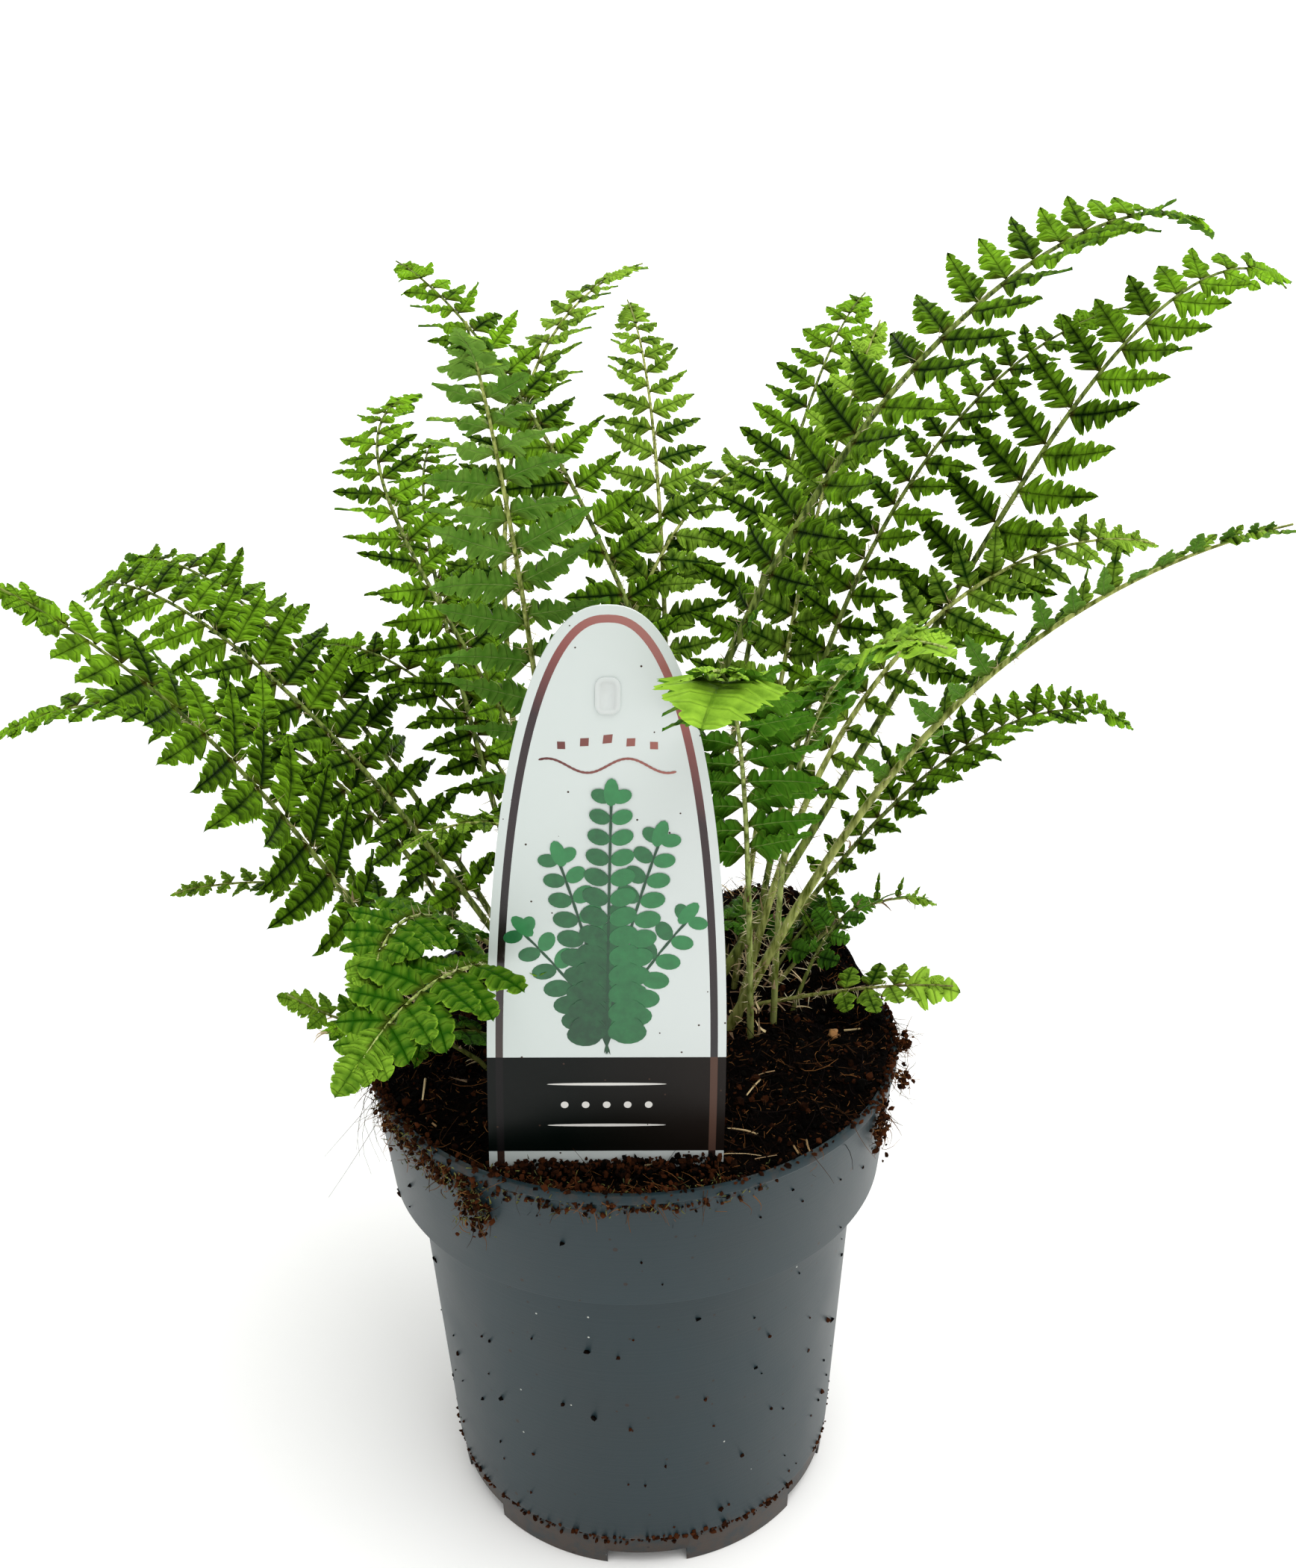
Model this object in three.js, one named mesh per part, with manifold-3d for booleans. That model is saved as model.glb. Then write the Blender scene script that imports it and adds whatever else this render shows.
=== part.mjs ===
// Potted wood fern: some thirty arching fronds from two crowns, in peat, in a round nursery pot
// with a plant label. Millimetres, +Z up, origin under the middle of the pot, label towards -Y.
import * as THREE from "three";
import { mergeVertices } from "three/addons/utils/BufferGeometryUtils.js";
import Module from "manifold-3d";

const wasm = await Module();
wasm.setup();

// Shared sizes
const GAP = 0.3; // clear space between pieces that touch on the real plant
const FACETS = 32; // sides of the round pot and of the soil in it

// Nursery pot, outer sizes
const RIM_RADIUS = 85;
const POT_HEIGHT = 164.4;
const LIP_THICKNESS = 2.5;
const LIP_HEIGHT = 3;
const WALL = 1.4;
const COLLAR_BOTTOM = 122; // height where the collar steps in to the body
const COLLAR_RADIUS = 80.2; // radius at the collar's lower edge
const BODY_TOP_RADIUS = 72.7;
const BODY_BOTTOM_RADIUS = 66;
const FOOT_HEIGHT = 13;
const FOOT_RADIUS = 64.5;
const DISC_RADIUS = 28; // flat disc in the middle of the base that stands on the floor
const CHANNEL_HEIGHT = 6; // raised drainage channel between the disc and the foot
const NOTCH_COUNT = 6;
const NOTCH_WIDTH = 26;
const NOTCH_HEIGHT = 5.5;
const HOLE_RADIUS = 4.5;
const HOLE_CIRCLE = 47;

// Soil
const SOIL_TOP = 168; // level round the crowns
const FRONT_DROP = 10; // how far it falls towards the front rim
const EDGE_DROP = 3; // how far it falls towards the rim all round
const HEAP = { x: 50, y: 52, height: 20, spread: 22 }; // peat heaped at the back right
const SOIL_RINGS = [76, 58, 34];

// Plant label, a thin card on a stake
const LABEL_WIDTH = 68;
const LABEL_FOOT = 152; // height of the card's lower edge, just under the soil
const LABEL_RISE = 177; // from that edge to the top of the arch
const LABEL_THICKNESS = 0.8;
const LABEL_X = -9;
const LABEL_Y = -62;
const LABEL_LEAN = 1.8; // degrees, the top towards +X
const LABEL_CORNER = 6;
const STAKE_WIDTH = 14;
const STAKE_DEPTH = 40;
const HANGER = { width: 6.5, height: 10, proud: 0.5, drop: 24 };

// Fronds
const CROWN_HEIGHT = 171; // where a stem starts to lean, just over the soil
const BURIED = 16; // straight foot of a stem below that
const PAIR_SPACING = 15.5;
const STEM_STEP = 24;
const BLADE_THICKNESS = 0.7;
const FOLDS = [0, 14, -14, 28, -28, 42, -42, 56, -56]; // ways to bend a leaflet clear
const SHARES = [1, 0.75, 0.5, 0.3]; // how much of its length a crowded leaflet keeps

// Half outline of a leaflet from its root: share of the length, share of the half width
const FINE_LOBES = [[0.18, 1], [0.38, 0.68], [0.55, 0.82]];
const COARSE_LOBES = [[0.28, 1], [0.6, 0.58]];
const SMALL_LOBES = [[0.35, 0.95]];

const GREEN = { mature: 0x3f7534, fresh: 0x5f9a3c, young: 0x86bb3f };

// name, heading, rise, droop, sway, length, root x, root y, bend, roll, leaflet, lift, bare, colour.
// Heading: 0 to +X, 90 to the back. Rise: slope at the root. Droop and sway: how far slope and
// heading turn up to the tip. Bend: how late the droop comes. Roll: turn of the blade about its
// stem, to its right. Leaflet: the longest one. Lift: fold of the leaflets. Bare: share of stem.
const FRONDS = [
  ["front_1", 256, 80, 44, 12, 265, -18, -7, 2, 0, 26, 4, 0.34, "fresh"],
  ["front_2", 262, 78, 60, -3, 194, 37, -13, 2, 0, 24, 8, 0.36, "young"],
  ["front_3", 281, 86, 81, 13, 196, 45, -5, 2, 15, 18, 8, 0.5, "young"],
  ["front_4", 247, 56, 98, -9, 142, -18, -14, 2, -10, 22, 4, 0.4, "young"],
  ["front_5", 222, 65, 98, 45, 130, -33, -5, 2, -15, 18, 4, 0.4, "young"],
  ["front_6", 212, 86, 110, 0, 121, -8, -1, 2, 0, 13, 4, 0.4, "fresh"],
  ["right_1", 352, 78, 100, 54, 366, -4, -4, 2, 12, 26, 10, 0.36, "mature"],
  ["right_2", 10, 58, 97, 22, 320, 23, 5, 6, 32, 27, 8, 0.38, "mature"],
  ["right_3", 36, 79, 74, -10, 272, 38, 13, 2, 20, 18, 12, 0.36, "mature"],
  ["right_4", 338, 66, 48, 1, 234, 31, -8, 2, -12, 20, 34, 0.42, "fresh"],
  ["right_5", 20, 76, 93, -5, 222, 34, -2, 2, 30, 18, 8, 0.5, "fresh"],
  ["right_6", 23, 50, 87, 4, 185, 39, 17, 2, 25, 15, 34, 0.3, "mature"],
  ["right_7", 15, 50, 83, -1, 66, 46, 12, 2, 0, 10, 44, 0.25, "fresh"],
  ["right_8", 349, 17, 14, -4, 66, 38, 3, 2, 20, 10, 8, 0.4, "fresh"],
  ["right_9", 40, 62, 80, 0, 48, 52, 1, 2, 20, 10, 10, 0.3, "young"],
  ["left_1", 206, 66, 27, 5, 200, -62, -6, 2, -34, 25, 6, 0.2, "mature"],
  ["left_2", 176, 59, 89, -50, 252, -26, 3, 2, -22, 23, 8, 0.34, "mature"],
  ["left_3", 158, 59, 80, -26, 240, -30, 13, 2, -6, 22, 12, 0.34, "mature"],
  ["left_4", 172, 66, 98, 17, 202, -42, 8, 2, -8, 22, 10, 0.24, "mature"],
  ["left_5", 167, 30, 40, 23, 136, -20, 17, 2, -14, 13, 14, 0.3, "fresh"],
  ["left_6", 158, 78, 93, -13, 162, -15, 13, 2, -25, 18, 10, 0.4, "mature"],
  ["left_7", 197, 12, -33, -5, 74, -38, -12, 2, -25, 13, 6, 0.3, "young"],
  ["left_8", 200, 45, 60, 0, 52, -48, -24, 2, -20, 11, 10, 0.25, "mature"],
  ["back_1", 84, 72, 62, 14, 268, 12, 18, 2, 0, 22, 8, 0.34, "fresh"],
  ["back_2", 62, 72, 65, 5, 276, 22, 15, 2, 8, 24, 8, 0.34, "mature"],
  ["back_3", 54, 76, 46, 10, 235, 34, 16, 2, 8, 22, 8, 0.34, "fresh"],
  ["back_4", 146, 80, 73, -27, 300, 32, 25, 1.5, -12, 25, 8, 0.36, "mature"],
  ["back_5", 125, 86, 81, -77, 289, -31, 25, 1.5, -8, 21, 8, 0.36, "fresh"],
  ["back_6", 222, 86, 92, -158, 263, -13, 5, 1.5, -10, 20, 8, 0.36, "mature"],
  ["back_7", 139, 70, 84, -57, 250, -24, -4, 2, -8, 20, 8, 0.36, "mature"],
  ["back_8", 60, 80, 98, -12, 228, -19, 26, 2, 8, 21, 8, 0.4, "fresh"],
];

const radians = THREE.MathUtils.degToRad;

// Solids
function solidFrom(vertices, triangles) {
  const vertProperties = new Float32Array(vertices);
  const triVerts = new Uint32Array(triangles);
  return new wasm.Manifold(new wasm.Mesh({ numProp: 3, vertProperties, triVerts }));
}

function solidOf(geometry) {
  const bare = geometry.clone();
  bare.deleteAttribute("normal");
  bare.deleteAttribute("uv");
  const merged = mergeVertices(bare, 1e-4);
  const corners = [...merged.index.array];
  const whole = [];
  for (let i = 0; i < corners.length; i += 3) {
    const [a, b, c] = corners.slice(i, i + 3);
    if (a !== b && b !== c && c !== a) whole.push(a, b, c);
  }
  return solidFrom(merged.attributes.position.array, whole);
}

function meshOf(solid, name, color, roughness) {
  const { vertProperties, triVerts, numProp } = solid.getMesh();
  const positions = [];
  for (let i = 0; i < vertProperties.length; i += numProp) {
    positions.push(vertProperties[i], vertProperties[i + 1], vertProperties[i + 2]);
  }
  const geometry = new THREE.BufferGeometry();
  geometry.setAttribute("position", new THREE.Float32BufferAttribute(positions, 3));
  geometry.setIndex([...triVerts]);
  geometry.computeVertexNormals();
  const material = new THREE.MeshStandardMaterial({ color, roughness, metalness: 0 });
  const mesh = new THREE.Mesh(geometry, material);
  mesh.name = name;
  return mesh;
}

// Pot
const collarInside = COLLAR_RADIUS - WALL;
const rimInside = RIM_RADIUS - LIP_THICKNESS;
const channelTop = CHANNEL_HEIGHT + WALL;

function potInside() {
  return [
    [0, WALL],
    [DISC_RADIUS, WALL],
    [DISC_RADIUS + 4, channelTop],
    [FOOT_RADIUS - WALL, channelTop],
    [FOOT_RADIUS - WALL + 0.3, FOOT_HEIGHT],
    [BODY_BOTTOM_RADIUS - WALL, FOOT_HEIGHT + 2],
    [BODY_TOP_RADIUS - WALL, COLLAR_BOTTOM + WALL],
    [collarInside, COLLAR_BOTTOM + WALL + 0.6],
  ];
}

function makePot() {
  const outside = [
    [0, 0],
    [DISC_RADIUS + 1.5, 0],
    [DISC_RADIUS + 6, CHANNEL_HEIGHT],
    [FOOT_RADIUS - 2.4, CHANNEL_HEIGHT],
    [FOOT_RADIUS - 2, 0],
    [FOOT_RADIUS, 0],
    [FOOT_RADIUS + 0.5, FOOT_HEIGHT - 1],
    [BODY_BOTTOM_RADIUS, FOOT_HEIGHT],
    [BODY_TOP_RADIUS, COLLAR_BOTTOM],
    [COLLAR_RADIUS, COLLAR_BOTTOM + 0.4],
    [RIM_RADIUS - 0.8, POT_HEIGHT - LIP_HEIGHT],
    [RIM_RADIUS, POT_HEIGHT - LIP_HEIGHT + 0.6],
    [RIM_RADIUS - 0.6, POT_HEIGHT],
    [rimInside, POT_HEIGHT],
    [rimInside, POT_HEIGHT - LIP_HEIGHT],
  ];
  const profile = [...outside, ...potInside().reverse()];
  const shell = new THREE.LatheGeometry(profile.map(([r, z]) => new THREE.Vector2(r, z)), FACETS);
  shell.rotateX(Math.PI / 2);
  let pot = solidOf(shell);
  for (let i = 0; i < NOTCH_COUNT; i++) {
    const turn = (i / NOTCH_COUNT) * Math.PI * 2;
    const notch = new THREE.BoxGeometry(NOTCH_WIDTH, 8, NOTCH_HEIGHT * 2);
    notch.translate(0, -FOOT_RADIUS, 0);
    notch.rotateZ(turn);
    const hole = new THREE.CylinderGeometry(HOLE_RADIUS, HOLE_RADIUS, 12, 10);
    hole.rotateX(Math.PI / 2);
    hole.translate(0, -HOLE_CIRCLE, CHANNEL_HEIGHT);
    hole.rotateZ(turn + Math.PI / NOTCH_COUNT);
    pot = pot.subtract(solidOf(notch)).subtract(solidOf(hole));
  }
  return pot;
}

// Soil
function soilHeight(x, y) {
  const front = THREE.MathUtils.smoothstep(-y, 18, 78) * FRONT_DROP;
  const edge = THREE.MathUtils.smoothstep(Math.hypot(x, y), 50, 82) * EDGE_DROP;
  const away = Math.hypot(x - HEAP.x, y - HEAP.y) / HEAP.spread;
  const lumps = 0.9 * Math.sin(0.13 * x + 0.07 * y) * Math.cos(0.11 * y - 0.05 * x);
  return SOIL_TOP - front - edge + HEAP.height * Math.exp(-0.5 * away ** 2) + lumps;
}

function makeSoil() {
  const rows = potInside().slice(1).map(([r, z]) => () => [r - GAP, z + GAP]);
  rows.push((angle) => {
    const x = rimInside * Math.cos(angle);
    const y = rimInside * Math.sin(angle);
    const z = soilHeight(x, y);
    const share = (z - COLLAR_BOTTOM) / (POT_HEIGHT - COLLAR_BOTTOM);
    return [collarInside + Math.min(share, 1) * (rimInside - collarInside) - 2 * GAP, z];
  });
  for (const radius of SOIL_RINGS) {
    rows.push((angle) => [radius, soilHeight(radius * Math.cos(angle), radius * Math.sin(angle))]);
  }
  const vertices = [0, 0, WALL + GAP];
  const triangles = [];
  rows.forEach((row, j) => {
    for (let i = 0; i < FACETS; i++) {
      const angle = (i / FACETS) * Math.PI * 2;
      const [radius, z] = row(angle);
      vertices.push(radius * Math.cos(angle), radius * Math.sin(angle), z);
      const here = 1 + j * FACETS + i;
      const next = 1 + j * FACETS + ((i + 1) % FACETS);
      if (j === 0) triangles.push(0, next, here);
      else triangles.push(here - FACETS, next - FACETS, next, here - FACETS, next, here);
    }
  });
  const top = vertices.length / 3;
  vertices.push(0, 0, soilHeight(0, 0));
  for (let i = 0; i < FACETS; i++) {
    triangles.push(top - FACETS + i, top - FACETS + ((i + 1) % FACETS), top);
  }
  return solidFrom(vertices, triangles);
}

// Plant label: an arched card that narrows to a stake
function labelSolid(extra) {
  const half = LABEL_WIDTH / 2 + extra;
  const outline = new THREE.Shape();
  outline.moveTo(-1 - extra, -STAKE_DEPTH - extra);
  outline.lineTo(1 + extra, -STAKE_DEPTH - extra);
  outline.lineTo(STAKE_WIDTH / 2 + extra, -extra);
  outline.lineTo(half - LABEL_CORNER, -extra);
  outline.lineTo(half - 1.8, 1.8 - extra);
  outline.lineTo(half, LABEL_CORNER - extra);
  const steps = 9;
  for (let i = 0; i <= steps * 2; i++) {
    const turn = (i / (steps * 2)) * Math.PI;
    const share = Math.sin(turn) ** 0.8;
    const width = half * Math.sign(Math.cos(turn)) * (1 - share ** 2.4) ** 0.42;
    const rise = LABEL_CORNER * 2 + (LABEL_RISE + extra - LABEL_CORNER * 2) * share;
    outline.lineTo(width, rise);
  }
  outline.lineTo(-half, LABEL_CORNER - extra);
  outline.lineTo(-half + 1.8, 1.8 - extra);
  outline.lineTo(-half + LABEL_CORNER, -extra);
  outline.lineTo(-STAKE_WIDTH / 2 - extra, -extra);
  const depth = LABEL_THICKNESS + 2 * extra;
  const card = new THREE.ExtrudeGeometry(outline, { depth, bevelEnabled: false });
  card.translate(0, 0, -depth / 2);
  card.rotateX(Math.PI / 2);
  return placeLabel(card);
}

function placeLabel(geometry) {
  geometry.rotateY(radians(LABEL_LEAN));
  geometry.translate(LABEL_X, LABEL_Y, LABEL_FOOT);
  return solidOf(geometry);
}

function makeLabel() {
  const { width, height, proud, drop } = HANGER;
  const boss = new THREE.BoxGeometry(width, proud * 2, height);
  boss.translate(0, -LABEL_THICKNESS / 2, LABEL_RISE - drop);
  return labelSolid(0).add(placeLabel(boss));
}

// Fronds: a stem that bends by its table row, with leaflets in the plane of its blade
function makeFrond(row) {
  const [name, heading, rise, droop, sway, length, x, y, bend, roll, leaflet, lift, bare, color] = row;
  const thick = 1.4 + length / 200;
  return {
    name, heading, rise, droop, sway, length, x, y, bend, roll, leaflet, lift, bare, color, thick,
  };
}

function frameAt(frond, distance) {
  const steps = 60;
  const position = new THREE.Vector3(frond.x, frond.y, CROWN_HEIGHT);
  const share = Math.max(distance, 0) / frond.length;
  const tangent = new THREE.Vector3();
  const slope = (t) => radians(frond.rise - frond.droop * t ** frond.bend);
  const heading = (t) => radians(frond.heading + frond.sway * t);
  const point = (t) => {
    const level = Math.cos(slope(t));
    return tangent.set(
      level * Math.cos(heading(t)), level * Math.sin(heading(t)), Math.sin(slope(t)));
  };
  for (let i = 0; i < steps; i++) {
    point(share * (i + 0.5) / steps);
    position.addScaledVector(tangent, share * frond.length / steps);
  }
  if (distance < 0) position.z += distance;
  const turn = heading(share);
  let tilt = slope(share);
  if (distance < 0) tilt = Math.PI / 2;
  else if (distance === 0) tilt = (Math.PI / 2 + tilt) / 2;
  tangent.set(Math.cos(tilt) * Math.cos(turn), Math.cos(tilt) * Math.sin(turn), Math.sin(tilt));
  const side = new THREE.Vector3(Math.sin(turn), -Math.cos(turn), 0);
  side.applyAxisAngle(tangent, radians(frond.roll));
  const up = new THREE.Vector3().crossVectors(side, tangent);
  return { position, tangent: tangent.clone(), side, up, share };
}

function stemSize(frond, share) {
  return [frond.thick + (0.9 - frond.thick) * share, frond.thick + (0.8 - frond.thick) * share];
}

function stationsOf(frond, extra) {
  const start = frond.length * frond.bare;
  const blade = frond.length - start;
  const stems = Math.max(2, Math.round(start / STEM_STEP));
  const pairs = Math.max(5, Math.round(blade / PAIR_SPACING));
  const distances = [-BURIED - extra];
  for (let i = 0; i < stems; i++) distances.push((start * i) / stems);
  for (let i = 0; i <= pairs; i++) {
    const u = i / pairs;
    distances.push(start + blade * u * (1.2 - 0.2 * u));
  }
  return distances.map((distance, i) => {
    const leafy = i > stems && i < stems + pairs + 1;
    const u = leafy ? (i - stems - 0.5) / pairs : 0;
    return { ...frameAt(frond, distance), distance, leafy, u };
  });
}

function corners(frond, station, extra) {
  const [width, height] = stemSize(frond, station.share);
  const corner = (across, over) => station.position.clone()
    .addScaledVector(station.side, across * (width / 2 + extra))
    .addScaledVector(station.up, over * (height / 2 + extra));
  return { lt: corner(-1, 1), rt: corner(1, 1), rb: corner(1, -1), lb: corner(-1, -1) };
}

// A leaflet's outline, from the lower root corner round its tip to the upper one
function leafletPoints(frond, low, high, sign, fold, share, extra) {
  const middle = frameAt(frond, (low.distance + high.distance) / 2);
  const spacing = high.distance - low.distance;
  const u = low.u;
  const reach = Math.min(1, 0.6 + 1.6 * u) * (1 - u ** 1.6) ** 0.8;
  const length = Math.max(frond.leaflet * reach * share, 2.5);
  const half = Math.min(0.27 * length, 0.42 * spacing) + extra;
  const angle = radians(14 + 30 * u);
  const tilt = radians(frond.lift + fold);
  const lateral = middle.side.clone().multiplyScalar(sign * Math.cos(tilt))
    .addScaledVector(middle.up, Math.sin(tilt));
  const normal = middle.up.clone().multiplyScalar(Math.cos(tilt))
    .addScaledVector(middle.side, -sign * Math.sin(tilt));
  const along = lateral.clone().multiplyScalar(Math.cos(angle))
    .addScaledVector(middle.tangent, Math.sin(angle));
  const across = middle.tangent.clone().multiplyScalar(Math.cos(angle))
    .addScaledVector(lateral, -Math.sin(angle));
  const [width] = stemSize(frond, middle.share);
  const root = middle.position.clone().addScaledVector(middle.side, sign * width / 2);
  const place = (v, w) => root.clone()
    .addScaledVector(along, (length + extra) * v)
    .addScaledVector(across, w * half + 0.06 * length * v * v)
    .addScaledVector(normal, -0.16 * length * v * v);
  let lobes = FINE_LOBES;
  if (length < 16) lobes = COARSE_LOBES;
  if (length < 9) lobes = SMALL_LOBES;
  return {
    low: lobes.map(([v, w]) => place(v, -w)),
    high: lobes.map(([v, w]) => place(v + 0.04, w)),
    tip: place(1, 0),
    normal,
  };
}

// Adds one leaflet between four root corners to a list of vertices and triangles
function addLeaflet(list, roots, leaf, sign, thickness) {
  const offset = leaf.normal.clone().multiplyScalar(thickness / 2);
  const add = (point) => list.add(point);
  const over = (point) => add(point.clone().add(offset));
  const under = (point) => add(point.clone().sub(offset));
  const lowTop = [roots.lowTop, ...leaf.low.map(over)];
  const highTop = [roots.highTop, ...leaf.high.map(over)];
  const lowUnder = [roots.lowUnder, ...leaf.low.map(under)];
  const highUnder = [roots.highUnder, ...leaf.high.map(under)];
  const tipTop = over(leaf.tip);
  const tipUnder = under(leaf.tip);
  const face = (a, b, c) => (sign > 0 ? list.face(a, b, c) : list.face(a, c, b));
  const last = lowTop.length - 1;
  for (let k = 0; k < last; k++) {
    face(lowTop[k], lowTop[k + 1], highTop[k + 1]);
    face(lowTop[k], highTop[k + 1], highTop[k]);
    face(lowUnder[k], highUnder[k + 1], lowUnder[k + 1]);
    face(lowUnder[k], highUnder[k], highUnder[k + 1]);
  }
  face(lowTop[last], tipTop, highTop[last]);
  face(lowUnder[last], highUnder[last], tipUnder);
  const rimTop = [...lowTop, tipTop, ...highTop.slice().reverse()];
  const rimUnder = [...lowUnder, tipUnder, ...highUnder.slice().reverse()];
  for (let k = 0; k < rimTop.length - 1; k++) {
    face(rimUnder[k], rimUnder[k + 1], rimTop[k + 1]);
    face(rimUnder[k], rimTop[k + 1], rimTop[k]);
  }
}

function meshList() {
  const vertices = [];
  const triangles = [];
  return {
    vertices,
    triangles,
    add(point) {
      vertices.push(point.x, point.y, point.z);
      return vertices.length / 3 - 1;
    },
    face: (a, b, c) => triangles.push(a, b, c),
    quad(a, b, c, d) {
      triangles.push(a, b, c, a, c, d);
    },
  };
}

// A leaflet alone, a little larger all round, to test for room
function probe(frond, low, high, sign, fold, share) {
  const list = meshList();
  const leaf = leafletPoints(frond, low, high, sign, fold, share, GAP);
  const offset = leaf.normal.clone().multiplyScalar(BLADE_THICKNESS / 2 + GAP);
  const foot = (station) => {
    const { rt, lt, rb, lb } = corners(frond, station, 0);
    return sign > 0 ? rt.add(rb).multiplyScalar(0.5) : lt.add(lb).multiplyScalar(0.5);
  };
  const [a, b] = [foot(low), foot(high)];
  const roots = {
    lowTop: list.add(a.clone().add(offset)),
    lowUnder: list.add(a.clone().sub(offset)),
    highTop: list.add(b.clone().add(offset)),
    highUnder: list.add(b.clone().sub(offset)),
  };
  addLeaflet(list, roots, leaf, sign, BLADE_THICKNESS + 2 * GAP);
  const { lowTop, lowUnder, highTop, highUnder } = roots;
  if (sign > 0) list.quad(highUnder, lowUnder, lowTop, highTop);
  else list.quad(lowUnder, highUnder, highTop, lowTop);
  return solidFrom(list.vertices, list.triangles);
}

// The frond as one body: its stem, and the leaflets that choose() gives a fold and a share
function frondSolid(frond, extra, choose) {
  const list = meshList();
  const stations = stationsOf(frond, extra);
  const rings = stations.map((station) => {
    const { lt, rt, rb, lb } = corners(frond, station, extra);
    return { lt: list.add(lt), rt: list.add(rt), rb: list.add(rb), lb: list.add(lb) };
  });
  const first = rings[0];
  const end = rings[rings.length - 1];
  list.quad(first.lt, first.lb, first.rb, first.rt);
  list.quad(end.lt, end.rt, end.rb, end.lb);
  for (let i = 0; i < rings.length - 1; i++) {
    const a = rings[i];
    const b = rings[i + 1];
    list.quad(a.rt, b.rt, b.lt, a.lt);
    list.quad(a.lb, b.lb, b.rb, a.rb);
    for (const sign of [1, -1]) {
      const pick = stations[i].leafy ? choose(stations[i], stations[i + 1], sign) : null;
      if (pick) {
        const right = { lowTop: a.rt, lowUnder: a.rb, highTop: b.rt, highUnder: b.rb };
        const left = { lowTop: a.lt, lowUnder: a.lb, highTop: b.lt, highUnder: b.lb };
        const { fold, share } = pick;
        const leaf = leafletPoints(frond, stations[i], stations[i + 1], sign, fold, share, 0);
        addLeaflet(list, sign > 0 ? right : left, leaf, sign, BLADE_THICKNESS);
      } else if (sign > 0) list.quad(a.rb, b.rb, b.rt, a.rt);
      else list.quad(a.lt, b.lt, b.lb, a.lb);
    }
  }
  return solidFrom(list.vertices, list.triangles);
}

function boxOf(solid) {
  const { min, max } = solid.boundingBox();
  return new THREE.Box3(new THREE.Vector3(...min), new THREE.Vector3(...max));
}

function crosses(solid, obstacles) {
  const box = boxOf(solid);
  return obstacles.some((other) => other.box.intersectsBox(box)
    && !solid.intersect(other.solid).isEmpty());
}

// Bends each leaflet clear of the stems, leaflets and things around it, or shortens it
function roomFor(frond, obstacles) {
  return (low, high, sign) => {
    for (const share of SHARES) {
      for (const fold of FOLDS) {
        if (!crosses(probe(frond, low, high, sign, fold, share), obstacles)) return { fold, share };
      }
    }
    return null;
  };
}

const fern = new THREE.Group();
const pot = makePot();
const label = makeLabel();
const fronds = FRONDS.map(makeFrond);
const filled = makeSoil();
const stems = fronds.map((frond) => frondSolid(frond, GAP, () => null));
const soil = stems.reduce((left, stem) => left.subtract(stem), filled.subtract(labelSolid(GAP)));
const placed = [pot, filled, label].map((solid) => ({ solid, box: boxOf(solid) }));
fern.add(meshOf(pot, "pot", 0x434e51, 0.5));
fern.add(meshOf(soil, "soil", 0x2a1a12, 1));
fern.add(meshOf(label, "label", 0xeff3f1, 0.25));
fronds.forEach((frond, index) => {
  const others = stems.filter((_, i) => i !== index).map((solid) => ({ solid, box: boxOf(solid) }));
  const solid = frondSolid(frond, 0, roomFor(frond, [...placed, ...others]));
  placed.push({ solid, box: boxOf(solid) });
  fern.add(meshOf(solid, `frond_${frond.name}`, GREEN[frond.color], 0.6));
});

export default fern;
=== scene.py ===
"""Looks of a potted wood fern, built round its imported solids. Metres, +Z up, label towards -Y."""
import math
import random
from collections import namedtuple

import bmesh
import bpy
import numpy as np
from mathutils import Matrix, Vector, noise
from mathutils.bvhtree import BVHTree


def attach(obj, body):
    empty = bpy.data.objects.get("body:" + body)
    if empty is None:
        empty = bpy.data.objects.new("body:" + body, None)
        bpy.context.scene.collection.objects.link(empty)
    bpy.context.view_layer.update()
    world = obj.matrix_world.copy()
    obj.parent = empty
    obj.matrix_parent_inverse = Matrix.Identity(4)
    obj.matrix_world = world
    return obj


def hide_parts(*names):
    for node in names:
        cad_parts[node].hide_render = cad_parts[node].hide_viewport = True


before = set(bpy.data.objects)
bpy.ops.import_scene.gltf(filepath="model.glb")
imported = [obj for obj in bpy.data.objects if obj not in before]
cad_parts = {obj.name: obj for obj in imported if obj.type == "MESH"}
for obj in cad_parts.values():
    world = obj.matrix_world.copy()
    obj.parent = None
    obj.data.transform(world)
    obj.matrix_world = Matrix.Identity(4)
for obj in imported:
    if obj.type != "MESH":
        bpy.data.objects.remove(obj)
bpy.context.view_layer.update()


# Camera: the photograph was taken by hand from above the plant, half a metre in front of the pot.
# Its place and turn were worked out from the round rim and foot of the pot.
MM = 0.001
CAMERA_AT = Vector((0, -456.3, 455.7)) * MM
CAMERA_YAW = 0.0142
CAMERA_PITCH = 0.4197
CAMERA_ROLL = -0.0209
PHOTO_HEIGHT = 2100
FOCAL_PIXELS = 2212.5
SENSOR = 36
NEAREST = 10 * MM

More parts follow.
